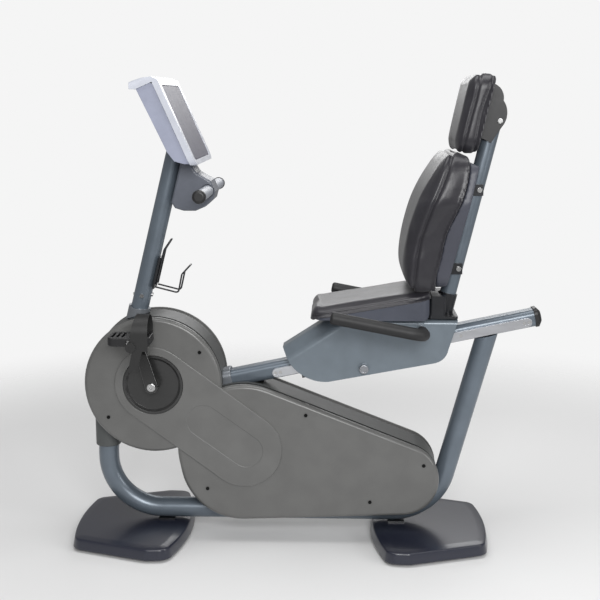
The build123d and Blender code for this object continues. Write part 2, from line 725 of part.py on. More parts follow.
def crank_arm(y_outer, spindle):
    """Arm from the axle to one pedal, with a long shallow channel in its outer face."""
    with BuildPart() as arm:
        with BuildSketch(side(y_outer)):
            add(hull_shape((CRANK_X, CRANK_Z), 21, spindle, 15))
        extrude(amount=ARM_OUTER - ARM_INNER)
        fillet(arm.edges().filter_by(Plane.XZ), radius=4)
        with BuildSketch(side(y_outer)):
            with Locations((CRANK_X, CRANK_Z)):
                Circle(AXLE_RADIUS)
            with Locations(spindle):
                Circle(SPINDLE_ROOT)
        extrude(amount=ARM_OUTER - ARM_INNER, mode=Mode.SUBTRACT)
    return arm.part


left_arm_shape = crank_arm(-ARM_INNER, LEFT_SPINDLE)
right_arm_shape = crank_arm(ARM_OUTER, RIGHT_SPINDLE)
with BuildPart() as crank_arms:
    add(left_arm_shape)
    add(right_arm_shape)
save(crank_arms, "crank_arms")

# Dished discs turn with the arms inside round holes in the covers.
with BuildPart() as left_disc:
    with BuildSketch(Plane.XY.offset(CRANK_Z)):
        with BuildLine():
            Polyline(
                (CRANK_X + AXLE_RADIUS, -108.9),
                (CRANK_X + 17, -108.9),
                (CRANK_X + 18, -89),
                (CRANK_X + 78, -91.5),
                (CRANK_X + 85, -98.5),
                (CRANK_X + 91.5, -98.5),
                (CRANK_X + 91.5, -95.5),
                (CRANK_X + 87, -95.5),
                (CRANK_X + 80, -88.5),
                (CRANK_X + AXLE_RADIUS, -85.5),
                close=True,
            )
        make_face()
    revolve(axis=Axis((CRANK_X, 0, CRANK_Z), (0, 1, 0)))
with BuildPart() as crank_discs:
    add(left_disc.part)
    mirror(left_disc.part, about=Plane.XZ)
save(crank_discs, "crank_discs")

with BuildPart() as left_crank_bolt:
    with BuildSketch(side(-ARM_OUTER)):
        with Locations((CRANK_X, CRANK_Z)):
            Circle(13)
    extrude(amount=4)
    chamfer(left_crank_bolt.faces().sort_by(Axis.Y)[0].edges(), length=1.5)
    with BuildSketch(side(-ARM_OUTER - 1.5)):
        with Locations((CRANK_X, CRANK_Z)):
            RegularPolygon(5, 6)
    extrude(amount=3, mode=Mode.SUBTRACT)
with BuildPart() as crank_axle:
    with BuildSketch(side(ARM_OUTER)):
        with Locations((CRANK_X, CRANK_Z)):
            Circle(AXLE_RADIUS)
    extrude(amount=2 * ARM_OUTER)
    add(left_crank_bolt.part)
    mirror(left_crank_bolt.part, about=Plane.XZ)
save(crank_axle, "crank_axle")


def pedal_spindle(spindle):
    """Stepped spindle of the left pedal, screwed through its arm, around this spot."""
    with BuildPart() as pin:
        with BuildSketch(side(-ARM_INNER)):
            with Locations(spindle):
                Circle(SPINDLE_ROOT)
        extrude(amount=ARM_OUTER - ARM_INNER)
        with BuildSketch(side(-ARM_OUTER)):
            with Locations(spindle):
                Circle(10)
        extrude(amount=4)
        with BuildSketch(side(-ARM_OUTER - 4)):
            with Locations(spindle):
                Circle(SPINDLE_RADIUS)
        extrude(amount=PEDAL_OUTER - 8 - ARM_OUTER - 4)
    return pin.part


left_spindle_shape = pedal_spindle(LEFT_SPINDLE)
right_spindle_shape = mirror(pedal_spindle(RIGHT_SPINDLE), about=Plane.XZ)
with BuildPart() as pedal_spindles:
    add(left_spindle_shape)
    add(right_spindle_shape)
save(pedal_spindles, "pedal_spindles")

# --- Pedals -------------------------------------------------------------------------------

PEDAL_MIDDLE = (PEDAL_INNER + PEDAL_OUTER) / 2
PEDAL_WIDTH = PEDAL_OUTER - PEDAL_INNER
TREAD_PITCH = 15.0
STRAP_THICKNESS, STRAP_RISE = 3.0, 60.0

# The left pedal, around its own spindle's middle.
with BuildPart() as pedal:
    with BuildSketch(Plane.XY.offset(-PEDAL_HEIGHT / 2)):
        RectangleRounded(PEDAL_LENGTH, PEDAL_WIDTH, 16)
    extrude(amount=PEDAL_HEIGHT)
    fillet(pedal.edges().group_by(Axis.Z)[0], radius=5)
    fillet(pedal.edges().group_by(Axis.Z)[-1], radius=3)
    with BuildSketch(Plane.XY.offset(-PEDAL_HEIGHT / 2)):
        for direction in (-1, 1):
            for step in range(3):
                slot_x = direction * (16 + TREAD_PITCH / 2 - 4 + step * TREAD_PITCH)
                with Locations((slot_x, 0)):
                    RectangleRounded(8, PEDAL_WIDTH - 30, 3)
    extrude(amount=PEDAL_HEIGHT, mode=Mode.SUBTRACT)
    with BuildSketch(Plane.XZ.offset(-PEDAL_WIDTH / 2)):
        Circle(SPINDLE_RADIUS + FIT)
    extrude(amount=PEDAL_WIDTH, mode=Mode.SUBTRACT)

# A broad strap arches over the foot from side to side; its free end hangs from the adjuster.
with BuildPart() as strap:
    with BuildSketch(Plane.YZ.offset(7)):
        with BuildLine():
            inner_leg = Line((PEDAL_WIDTH / 2, -8), (PEDAL_WIDTH / 2, 26))
            arch = ThreePointArc(
                inner_leg @ 1, (0, PEDAL_HEIGHT / 2 + STRAP_RISE), (-PEDAL_WIDTH / 2, 26)
            )
            outer_leg = Line(arch @ 1, (-PEDAL_WIDTH / 2, -26))
            outer_end = Line(outer_leg @ 1, (-PEDAL_WIDTH / 2 - STRAP_THICKNESS, -26))
            outer_rise = Line(outer_end @ 1, (-PEDAL_WIDTH / 2 - STRAP_THICKNESS, 26))
            top = ThreePointArc(
                outer_rise @ 1,
                (0, PEDAL_HEIGHT / 2 + STRAP_RISE + STRAP_THICKNESS),
                (PEDAL_WIDTH / 2 + STRAP_THICKNESS, 26),
            )
            inner_end = Line(top @ 1, (PEDAL_WIDTH / 2 + STRAP_THICKNESS, -8))
            Line(inner_end @ 1, inner_leg @ 0)
        make_face()
    extrude(amount=51)
    with BuildSketch(Plane.XZ.offset(-80)):
        with BuildLine():
            Polyline((6, 90), (6, 20), (20, 76), (20, 90), close=True)
        make_face()
    extrude(amount=160, mode=Mode.SUBTRACT)
    with BuildSketch(Plane.XZ.offset(PEDAL_WIDTH / 2)):
        with Locations((8, -14)):
            Circle(15)
    extrude(amount=STRAP_THICKNESS + 5)
    with BuildSketch(Plane.XZ.offset(PEDAL_WIDTH / 2)):
        with BuildLine():
            Polyline((16, -10), (46, -12), (24, -90), (-2, -88), close=True)
        make_face()
    extrude(amount=STRAP_THICKNESS)


def place_left(shape):
    return shape.moved(Location((LEFT_SPINDLE[0], -PEDAL_MIDDLE, LEFT_SPINDLE[1])))


def place_right(shape):
    mirrored = mirror(shape, about=Plane.XZ)
    return mirrored.moved(Location((RIGHT_SPINDLE[0], PEDAL_MIDDLE, RIGHT_SPINDLE[1])))


for name, place in (("left", place_left), ("right", place_right)):
    placed_pedal = place(pedal.part)
    placed_strap = place(strap.part)
    with BuildPart() as one_pedal:
        add(placed_pedal)
    save(one_pedal, name + "_pedal")
    with BuildPart() as one_strap:
        add(placed_strap)
    save(one_strap, name + "_pedal_strap")

# --- Console ------------------------------------------------------------------------------

FACE_WIDTH, FACE_HEIGHT, FACE_DEPTH = 334.0, 232.0, 5.0
console_angle = radians(CONSOLE_TILT)
SHELL_FRONT = -18.0  # where the shell meets the trim, behind the face


def console_profile(points):
    """Side view through the console from its depth and height pairs."""
    with BuildSketch() as shape:
        with BuildLine():
            Polyline(*[console_point(depth, height) for depth, height in points], close=True)
        make_face()
    return shape.sketch


def console_plane(depth):
    """Plane along the console's face: local x is +Y, local y runs up the face."""
    x, z = console_point(depth, 0)
    return Plane(
        origin=(x, 0, z),
        x_dir=(0, 1, 0),
        z_dir=(cos(console_angle), 0, sin(console_angle)),
    )


def console_front(inset):
    """Front view of the console: a wide panel with big rounded corners."""
    low, high = -CONSOLE_HALF_HEIGHT, CONSOLE_HALF_HEIGHT + 30
    with BuildSketch() as shape:
        with Locations((0, (low + high) / 2)):
            RectangleRounded(CONSOLE_WIDTH - 2 * inset, high - low - 2 * inset, 30 - inset)
    return shape.sketch


with BuildPart() as console_shell:
    with BuildSketch(side(CONSOLE_WIDTH / 2)):
        add(
            console_profile(
                (
                    (SHELL_FRONT, 132),
                    (-68, 132),
                    (-62, -65),
                    (-54, -95),
                    (-32, -114),
                    (SHELL_FRONT, -120),
                )
            )
        )
    extrude(amount=CONSOLE_WIDTH)
    fillet(console_shell.edges().filter_by(Axis.Y).sort_by(Axis.X)[1:3], radius=10)
    with BuildSketch(console_plane(-120)):
        add(console_front(5))
    extrude(amount=120, mode=Mode.INTERSECT)
    with BuildSketch(side(CONSOLE_WIDTH / 2 - 10)):
        add(
            console_profile(
                (
                    (SHELL_FRONT + 1, 126),
                    (-63, 126),
                    (-57, -64),
                    (-50, -92),
                    (SHELL_FRONT + 1, -112),
                )
            )
        )
    extrude(amount=CONSOLE_WIDTH - 20, mode=Mode.SUBTRACT)
    with BuildSketch(mast_plane(1150)):
        Circle(MAST_RADIUS + 0.1)
    extrude(amount=leaning_length(MAST_LEAN, 1150, MAST_TOP_Z) + 1, mode=Mode.SUBTRACT)
save(console_shell, "console_shell")

with BuildPart() as console_trim:
    with BuildSketch(side(CONSOLE_WIDTH / 2)):
        add(
            console_profile(
                (
                    (0, CONSOLE_HALF_HEIGHT),
                    (-14, 147),
                    (-42, 155.5),
                    (-66, 158.5),
                    (-81, 159),
                    (-86, 140),
                    (-70, 132.2),
                    (SHELL_FRONT, 132.2),
                    (SHELL_FRONT, -124),
                    (-4, -CONSOLE_HALF_HEIGHT),
                    (0, -CONSOLE_HALF_HEIGHT),
                )
            )
        )
    extrude(amount=CONSOLE_WIDTH)
    with BuildSketch(console_plane(-120)):
        add(console_front(0))
    extrude(amount=130, mode=Mode.INTERSECT)
    with BuildSketch(console_plane(0)):
        RectangleRounded(FACE_WIDTH, FACE_HEIGHT, 12)
    extrude(amount=-FACE_DEPTH, mode=Mode.SUBTRACT)
    with BuildSketch(console_plane(0)):
        RectangleRounded(FACE_WIDTH - 24, FACE_HEIGHT - 24, 10)
    extrude(amount=-30, mode=Mode.SUBTRACT)
save(console_trim, "console_trim")

with BuildPart() as console_face:
    with BuildSketch(console_plane(-FACE_DEPTH)):
        RectangleRounded(FACE_WIDTH - 0.4, FACE_HEIGHT - 0.4, 11.8)
    extrude(amount=FACE_DEPTH - 1.5)
save(console_face, "console_face")

# --- Handlebar ----------------------------------------------------------------------------

NECK_HALF = 55.0
GRIP_START, CAP_LENGTH = 62.0, 18.0
with BuildPart() as neck_housing:
    with BuildSketch(side(NECK_HALF)):
        with BuildLine():
            Polyline(
                (-368.5, 1186),
                (-399, 1065),
                (-388, 1048),
                (-362, 1040),
                (-326, 1040),
                (-296, 1053),
                (-272, 1075),
                (-266, 1098),
                (-279, 1130),
                (-322, 1155),
                (-333, 1172),
                (-346, 1182),
                close=True,
            )
        make_face()
    extrude(amount=2 * NECK_HALF)
    fillet(neck_housing.faces().sort_by(Axis.Y)[0].edges(), radius=6)
    fillet(neck_housing.faces().sort_by(Axis.Y)[-1].edges(), radius=6)
    with BuildSketch(mast_plane(1000)):
        Circle(MAST_RADIUS + 0.1)
    extrude(amount=260, mode=Mode.SUBTRACT)
    with BuildSketch(side(NECK_HALF)):
        with Locations((HANDLEBAR_X, HANDLEBAR_Z)):
            Circle(11)
    extrude(amount=2 * NECK_HALF, mode=Mode.SUBTRACT)
    for recess_y in (NECK_HALF, 9 - NECK_HALF):
        with BuildSketch(side(recess_y)):
            with Locations((HANDLEBAR_X, HANDLEBAR_Z)):
                Circle(20)
        extrude(amount=9, mode=Mode.SUBTRACT)
save(neck_housing, "neck_housing")

with BuildPart() as left_bar_grip:
    with BuildSketch(side(-GRIP_START + 12)):
        with Locations((HANDLEBAR_X, HANDLEBAR_Z)):
            Circle(GRIP_RADIUS - 0.5)
            Circle(11, mode=Mode.SUBTRACT)
    extrude(amount=HANDLEBAR_HALF - CAP_LENGTH - GRIP_START + 12)
with BuildPart() as handlebar_grips:
    add(left_bar_grip.part)
    mirror(left_bar_grip.part, about=Plane.XZ)
save(handlebar_grips, "handlebar_grips")

with BuildPart() as left_bar_cap:
    with BuildSketch(side(-HANDLEBAR_HALF + CAP_LENGTH)):
        with Locations((HANDLEBAR_X, HANDLEBAR_Z)):
            Circle(GRIP_RADIUS + 1.5)
    extrude(amount=CAP_LENGTH)
    fillet(left_bar_cap.faces().sort_by(Axis.Y)[0].edges(), radius=8)
    with BuildSketch(side(-HANDLEBAR_HALF + CAP_LENGTH)):
        with Locations((HANDLEBAR_X, HANDLEBAR_Z)):
            Circle(11)
    extrude(amount=CAP_LENGTH - 10, mode=Mode.SUBTRACT)
with BuildPart() as handlebar_tube:
    with BuildSketch(side(HANDLEBAR_HALF - 10)):
        with Locations((HANDLEBAR_X, HANDLEBAR_Z)):
            Circle(11)
            Circle(8.5, mode=Mode.SUBTRACT)
    extrude(amount=2 * HANDLEBAR_HALF - 20)
    add(left_bar_cap.part)
    mirror(left_bar_cap.part, about=Plane.XZ)
save(handlebar_tube, "handlebar_tube")

# --- Bottle cage --------------------------------------------------------------------------

# A flat plate on the mast's rear side, and two bent wires that hold the bottle.
WIRE_RADIUS = 2.6


def behind_mast(height, distance, y):
    """Point this far behind the mast's axis, square to it."""
    plane = mast_plane(height)
    point = plane.from_local_coords((distance, y, 0))
    return (point.X, point.Y, point.Z)


CAGE_BACK, CAGE_FRONT = MAST_RADIUS + 8.6, MAST_RADIUS + 84
back_points = [
    behind_mast(818, CAGE_BACK, -17),
    behind_mast(925, CAGE_BACK, -17),
    behind_mast(960, CAGE_BACK + 13, -12),
    behind_mast(960, CAGE_BACK + 13, 12),
    behind_mast(925, CAGE_BACK, 17),
    behind_mast(818, CAGE_BACK, 17),
]
front_points = [
    behind_mast(812, CAGE_BACK, -26),
    behind_mast(812, CAGE_FRONT - 2, -26),
    behind_mast(870, CAGE_FRONT - 4, -34),
    behind_mast(898, CAGE_FRONT + 12, -18),
    behind_mast(898, CAGE_FRONT + 12, 18),
    behind_mast(870, CAGE_FRONT - 4, 34),
    behind_mast(812, CAGE_FRONT - 2, 26),
    behind_mast(812, CAGE_BACK, 26),
]


def bent_wire(points, radius):
    """Round wire along straight runs joined by bends of this radius."""
    with BuildLine() as path:
        FilletPolyline(*points, radius=radius)
    with BuildPart() as wire:
        with BuildSketch(Plane(origin=path.line @ 0, z_dir=path.line % 0)):
            Circle(WIRE_RADIUS)
        sweep(path=path.line)
    return wire.part


back_wire = bent_wire(back_points, 8)
front_wire = bent_wire(front_points, 9)
with BuildPart() as bottle_cage:
    with BuildSketch(mast_plane(805)):
        with Locations((MAST_RADIUS + 3.1, 0)):
            Rectangle(6, 62)
    extrude(amount=100)
    add(back_wire)
    add(front_wire)
    with BuildSketch(mast_plane(700)):
        Circle(MAST_RADIUS + 0.1)
    extrude(amount=300, mode=Mode.SUBTRACT)
save(bottle_cage, "bottle_cage")

# --- Seat carriage ------------------------------------------------------------------------

FOLD_RISE = 122 / 187  # slope of the carriage's front fold
FOLD_FRONT, FOLD_REAR = (-50.0, 591.0), (137.0, 713.0)
CARRIAGE_REAR_X = 465.0
SHEET = 3.5
RIDGE_HALF = 35.0
HANDLE_TUBE_X, HANDLE_TUBE_Z = 352.0, 690.0
KNOB_X, KNOB_Z = 183.0, 564.0
PIN_RADIUS = 5.0

# Side plates hang from the folded hood, one on each side of the beam.
with BuildPart() as left_side_plate:
    with BuildSketch(side(-CARRIAGE_HALF + CARRIAGE_WALL)):
        with BuildLine():
            drop = SHEET + 0.1
            nose_top = (FOLD_FRONT[0], FOLD_FRONT[1] - drop)
            nose = ThreePointArc(nose_top, (-14, 548), (75, 521))
            sill = Line(nose @ 1, (395, 582))
            heel = ThreePointArc(sill @ 1, (424, 597), (438, 625))
            rear = Line(heel @ 1, (CARRIAGE_REAR_X, FOLD_REAR[1] - drop))
            deck_line = Line(rear @ 1, (FOLD_REAR[0], FOLD_REAR[1] - drop))
            Line(deck_line @ 1, nose @ 0)
        make_face()
        with Locations((HANDLE_TUBE_X, HANDLE_TUBE_Z)):
            Circle(HANDLE_RADIUS + 0.05, mode=Mode.SUBTRACT)
    extrude(amount=CARRIAGE_WALL)
right_side_plate_shape = mirror(left_side_plate.part, about=Plane.XZ)
with BuildPart() as carriage_side_plates:
    add(left_side_plate.part)
    with BuildSketch(side(-CARRIAGE_HALF + 24)):
        with Locations((KNOB_X, KNOB_Z)):
            Circle(12)
    extrude(amount=24)
    with BuildSketch(side(-CARRIAGE_HALF)):
        with Locations((KNOB_X, KNOB_Z)):
            Circle(18)
    extrude(amount=3)
    with BuildSketch(side(0)):
        with Locations((KNOB_X, KNOB_Z)):
            Circle(PIN_RADIUS + FIT)
    extrude(amount=CARRIAGE_HALF + 3, mode=Mode.SUBTRACT)
    add(right_side_plate_shape)
save(carriage_side_plates, "carriage_side_plates")

# The hood is one folded sheet: a deck, a sloping front and a chamfer along each side.
ridge_rear_x = -66 + (DECK_Z - 619) / FOLD_RISE
fold_line = [FOLD_FRONT, FOLD_REAR, (CARRIAGE_REAR_X, FOLD_REAR[1])]
ridge_line = [(-66.0, 619.0), (ridge_rear_x, DECK_Z), (CARRIAGE_REAR_X, DECK_Z)]


def hood_faces(drop):
    """The hood's five flat faces, this far below its outer surface."""
    faces = []
    for sign in (-1, 1):
        for i in range(2):
            corners = [
                (fold_line[i][0], sign * CARRIAGE_HALF, fold_line[i][1] - drop),
                (fold_line[i + 1][0], sign * CARRIAGE_HALF, fold_line[i + 1][1] - drop),
                (ridge_line[i + 1][0], sign * RIDGE_HALF, ridge_line[i + 1][1] - drop),
                (ridge_line[i][0], sign * RIDGE_HALF, ridge_line[i][1] - drop),
            ]
            faces.append(corners)
    for i in range(2):
        faces.append(
            [
                (ridge_line[i][0], -RIDGE_HALF, ridge_line[i][1] - drop),
                (ridge_line[i + 1][0], -RIDGE_HALF, ridge_line[i + 1][1] - drop),
                (ridge_line[i + 1][0], RIDGE_HALF, ridge_line[i + 1][1] - drop),
                (ridge_line[i][0], RIDGE_HALF, ridge_line[i][1] - drop),
            ]
        )
    return faces


def hood_rim():
    """The hood's outer boundary, in order."""
    rim = [(x, -CARRIAGE_HALF, z) for x, z in fold_line]
    rim += [(CARRIAGE_REAR_X, -RIDGE_HALF, DECK_Z), (CARRIAGE_REAR_X, RIDGE_HALF, DECK_Z)]
    rim += [(x, CARRIAGE_HALF, z) for x, z in reversed(fold_line)]
    rim += [(ridge_line[0][0], y, ridge_line[0][1]) for y in (RIDGE_HALF, -RIDGE_HALF)]
    return rim


rim = hood_rim()
hood_loops = hood_faces(0) + hood_faces(SHEET)
for i, start in enumerate(rim):
    end = rim[(i + 1) % len(rim)]
    below_end = (end[0], end[1], end[2] - SHEET)
    below_start = (start[0], start[1], start[2] - SHEET)
    hood_loops.append([start, end, below_end, below_start])
hood_solid = Solid(Shell([Face(Wire.make_polygon(loop, close=True)) for loop in hood_loops]))
with BuildPart() as carriage_hood:
    add(hood_solid)
save(carriage_hood, "carriage_hood")

# Plastic glide blocks wrap the guide rails.
BLOCK_CENTRES = (30.0, 360.0)
BLOCK_LENGTH = 80.0
with BuildPart() as left_blocks:
    for block_x in BLOCK_CENTRES:
        with BuildSketch(beam_plane(block_x - BLOCK_LENGTH / 2)):
            with Locations((-54.2, -RAIL_DROP)):
                Rectangle(41.6, 46)
            with Locations((-37.2, -RAIL_DROP)):
                Rectangle(10.4, RAIL_HEIGHT + 0.6, mode=Mode.SUBTRACT)
            with Locations((-33, -RAIL_DROP)):
                Rectangle(2, RAIL_HEIGHT + 0.6, mode=Mode.SUBTRACT)
        extrude(amount=BLOCK_LENGTH)
with BuildPart() as glide_blocks:
    add(left_blocks.part)
    mirror(left_blocks.part, about=Plane.XZ)
save(glide_blocks, "glide_blocks")

# --- Seat ---------------------------------------------------------------------------------

PAN_FRONT_X, PAN_REAR_X, PAN_BOTTOM_Z = 34.0, 376.0, 725.0
with BuildPart() as seat_pan:
    with BuildSketch(side(SEAT_WIDTH / 2 - 4)):
        with BuildLine():
            floor = Line((PAN_FRONT_X, PAN_BOTTOM_Z), (357, PAN_BOTTOM_Z))
            heel = ThreePointArc(floor @ 1, (370, 731), (PAN_REAR_X, 744))
            back = Line(heel @ 1, (PAN_REAR_X - 1, 788))
            top = Line(back @ 1, (PAN_FRONT_X, 727))
            Line(top @ 1, floor @ 0)
        make_face()
    extrude(amount=SEAT_WIDTH - 8)
    with BuildSketch(Plane.XY.offset(PAN_BOTTOM_Z)):
        with Locations(((PAN_FRONT_X + PAN_REAR_X) / 2, 0)):
            RectangleRounded(PAN_REAR_X - PAN_FRONT_X + 2, SEAT_WIDTH - 8, 30)
    extrude(amount=80, mode=Mode.INTERSECT)
    with BuildSketch(Plane.XY.offset(DECK_Z)):
        with Locations((225, -22), (225, 22)):
            Rectangle(240, 24)
    extrude(amount=PAN_BOTTOM_Z - DECK_Z)
save(seat_pan, "seat_pan")

# The cushion follows the pan's slope and rolls over its front edge.
CUSHION_REAR_X = 384.0
with BuildPart() as seat_cushion:
    with BuildSketch(side(SEAT_WIDTH / 2)):
        with BuildLine():
            under = Line((33.5, 723), (33.5, 727.5))
            base = Line(under @ 1, (CUSHION_REAR_X, 790.5))
            rear = Line(base @ 1, (CUSHION_REAR_X, 811))
            top = Line(rear @ 1, (52, 754))
            nose = ThreePointArc(top @ 1, (18, 741), (16, 723))
            Line(nose @ 1, under @ 0)
        make_face()
    extrude(amount=SEAT_WIDTH)
    with BuildSketch(Plane.XY.offset(700)):
        with Locations(((15.5 + CUSHION_REAR_X) / 2, 0)):
            RectangleRounded(CUSHION_REAR_X - 15.5, SEAT_WIDTH, 45)
    extrude(amount=130, mode=Mode.INTERSECT)
save(seat_cushion, "seat_cushion")

SLEEVE_RADIUS = 29.5
with BuildPart() as seat_post_bracket:
    with BuildSketch(Plane.XY.offset(DECK_Z)):
        with Locations((421, 0)):
            RectangleRounded(88, 150, 8)
    extrude(amount=7)
    with BuildSketch(Plane.XY.offset(DECK_Z)):
        with Locations((403, 0)):
            RectangleRounded(48, 150, 8)
    extrude(amount=69)
    with BuildSketch(side(75)):
        with BuildLine():
            Polyline((370, 700), (377, 700), (377, 779), (386, 782), (386, 800), (370, 800), close=True)
        make_face()
    extrude(amount=150, mode=Mode.SUBTRACT)
    with BuildSketch(post_plane(DECK_Z + 10)):
        Circle(SLEEVE_RADIUS)
    extrude(amount=leaning_length(POST_LEAN, DECK_Z + 10, 788))
    with BuildSketch(post_plane(DECK_Z + 9)):
        Circle(POST_RADIUS + 0.05)
    extrude(amount=100, mode=Mode.SUBTRACT)
save(seat_post_bracket, "seat_post_bracket")

POST_TOP_Z = 1345.0
BACK_BOLTS = ((467.0, 865.0), (523.0, 1103.0))
with BuildPart() as seat_post:
    with BuildSketch(post_plane(DECK_Z + 9.1)):
        add(tube_ring(POST_RADIUS, 3))
    extrude(amount=leaning_length(POST_LEAN, DECK_Z + 9.1, POST_TOP_Z))
    with BuildSketch(side(50)):
        with Locations(*BACK_BOLTS):
            Circle(4.05)
    extrude(amount=100, mode=Mode.SUBTRACT)
save(seat_post, "seat_post")

# --- Backrest and head pad ----------------------------------------------------------------

BACK_WIDTH = 384.0
BACK_SEAM = ((391, 822), (393, 884), (401, 916), (412, 978), (443, 1051), (473, 1142), (476, 1192))


def back_front_view(inset, low, high, low_half, high_half, corner):
    """Front view of a back pad: wider at its shoulders, with big rounded corners."""
    with BuildSketch() as shape:
        with BuildLine():
            Polyline(
                (-low_half + inset, low + inset),
                (low_half - inset, low + inset),
                (BACK_WIDTH / 2 - inset, (low + 2 * high) / 3),
                (high_half - inset, high - inset),
                (-high_half + inset, high - inset),
                (-BACK_WIDTH / 2 + inset, (low + 2 * high) / 3),
                close=True,
            )
        make_face()
        fillet(shape.vertices(), radius=corner)
    return shape.sketch


FRONT_VIEW = Plane(origin=(0, 0, 0), x_dir=(0, 1, 0), z_dir=(1, 0, 0))
back_view = back_front_view(0, 806, 1217, 155, 165, 60)
shell_view = back_front_view(9, 812, 1210, 155, 165, 52)

with BuildPart() as backrest_cushion:
    with BuildSketch(side(BACK_WIDTH / 2)):
        with BuildLine():
            front = Spline(
                (345, 806), (304, 862), (303, 925), (320, 1011), (347, 1088), (386, 1158), (418, 1205)
            )
            crown = ThreePointArc(front @ 1, (446, 1217), (476, 1192))
            rear = Spline(*reversed(BACK_SEAM))
            Line(rear @ 1, front @ 0)
        make_face()
    extrude(amount=BACK_WIDTH)
    with BuildSketch(FRONT_VIEW):
        add(back_view)
    extrude(amount=700, mode=Mode.INTERSECT)
save(backrest_cushion, "backrest_cushion")

# The moulded shell fills the space between the cushion and the post.
with BuildPart() as backrest_shell:
    with BuildSketch(side(BACK_WIDTH / 2)):
        with BuildLine():
            seam = Spline(*[(x + 0.8, z) for x, z in BACK_SEAM])
            top = Line(seam @ 1, (POST_X - 27 + 0.2357 * (1180 - POST_Z), 1180))
            spine = Line(top @ 1, (POST_X - 27 + 0.2357 * (826 - POST_Z), 826))
            Line(spine @ 1, seam @ 0)
        make_face()
    extrude(amount=BACK_WIDTH)
    with BuildSketch(FRONT_VIEW):
        add(shell_view)
    extrude(amount=700, mode=Mode.INTERSECT)
save(backrest_shell, "backrest_shell")

HEAD_BOLT = (577.0, 1307.0)
CHEEK = 4.0
with BuildPart() as backrest_brackets:
    for bolt_x, bolt_z in BACK_BOLTS:
        for cheek_y in (-POST_RADIUS - 0.1, POST_RADIUS + CHEEK + 0.1):
            with BuildSketch(side(cheek_y)):
                with BuildLine():
                    Polyline(
                        (bolt_x - 38, bolt_z - 17),
                        (bolt_x + 12, bolt_z - 17),
                        (bolt_x + 12, bolt_z + 17),
                        (bolt_x - 30, bolt_z + 17),
                        close=True,
                    )
                make_face()
                with Locations((bolt_x, bolt_z)):
                    Circle(4.05, mode=Mode.SUBTRACT)
            extrude(amount=CHEEK)
    add(backrest_shell.part, mode=Mode.SUBTRACT)
save(backrest_brackets, "backrest_brackets")

HEAD_WIDTH = 280.0
with BuildPart() as head_cushion:
    with BuildSketch(side(HEAD_WIDTH / 2)):
        with BuildLine():
            front = Line((442, 1236), (479, 1404))
            top = ThreePointArc(front @ 1, (494, 1434), (524, 1443))
            over = ThreePointArc(top @ 1, (543, 1437), (546, 1415))
            rear = Line(over @ 1, (503, 1232))
            under = ThreePointArc(rear @ 1, (484, 1216), (456, 1217))
            ThreePointArc(under @ 1, (445, 1223), front @ 0)
        make_face()
    extrude(amount=HEAD_WIDTH)
    with BuildSketch(FRONT_VIEW):
        with Locations((0, (1215 + 1444) / 2)):
            RectangleRounded(HEAD_WIDTH, 1444 - 1215, 46)
    extrude(amount=700, mode=Mode.INTERSECT)
save(head_cushion, "head_cushion")

# A black moulding carries the head pad and closes the top of the post.
with BuildPart() as head_bracket:
    with BuildSketch(side(33)):
        with BuildLine():
            start = Line((511, 1262), (548, 1417))
            brow = ThreePointArc(start @ 1, (572, 1405), (585, 1366))
            nape = ThreePointArc(brow @ 1, (597, 1330), (583, 1290))
            Line(nape @ 1, (552, 1243))
            Line((552, 1243), start @ 0)
        make_face()
    extrude(amount=66)
    with BuildSketch(post_plane(1200)):
        Circle(POST_RADIUS + 0.1)
    extrude(amount=leaning_length(POST_LEAN, 1200, POST_TOP_Z + 1), mode=Mode.SUBTRACT)
    add(head_cushion.part, mode=Mode.SUBTRACT)
save(head_bracket, "head_bracket")

# One bolt crosses the post at each bracket.
with BuildPart() as seat_bolts:
    for bolt_x, bolt_z in BACK_BOLTS:
        with BuildSketch(side(POST_RADIUS + CHEEK + 1)):
            with Locations((bolt_x, bolt_z)):
                Circle(4)
        extrude(amount=2 * (POST_RADIUS + CHEEK + 1))
        for head_y in (POST_RADIUS + CHEEK + 5, -POST_RADIUS - CHEEK - 0.2):
            with BuildSketch(side(head_y)):
                with Locations((bolt_x, bolt_z)):
                    Circle(7.5)
            extrude(amount=4.8)
    with BuildSketch(side(33 + 4.8)):
        with Locations(HEAD_BOLT):
            Circle(7.5)
    extrude(amount=4.7)
    with BuildSketch(side(-33.1)):
        with Locations(HEAD_BOLT):
            Circle(7.5)
    extrude(amount=4.7)
save(seat_bolts, "seat_bolts")

# --- Side handles and carriage lock -------------------------------------------------------

HANDLE_FRONT = (96.0, 754.0)
HANDLE_REAR_Z = 705.0


def handle_points(sign):
    """Corners of the handle from one front end to the middle of its cross tube."""
    return [
        (HANDLE_FRONT[0], sign * HANDLE_HALF, HANDLE_FRONT[1]),
        (HANDLE_TUBE_X, sign * HANDLE_HALF, HANDLE_REAR_Z),
        (HANDLE_TUBE_X, sign * 120, HANDLE_TUBE_Z),
    ]


with BuildLine() as handle_path:
    FilletPolyline(*handle_points(-1), *reversed(handle_points(1)), radius=[38, 60, 60, 38])

with BuildPart() as handle_tube:
    with BuildSketch(Plane(origin=handle_path.line @ 0, z_dir=handle_path.line % 0)):
        add(tube_ring(HANDLE_RADIUS, 2.5))
    sweep(path=handle_path.line)
save(handle_tube, "handle_tube")

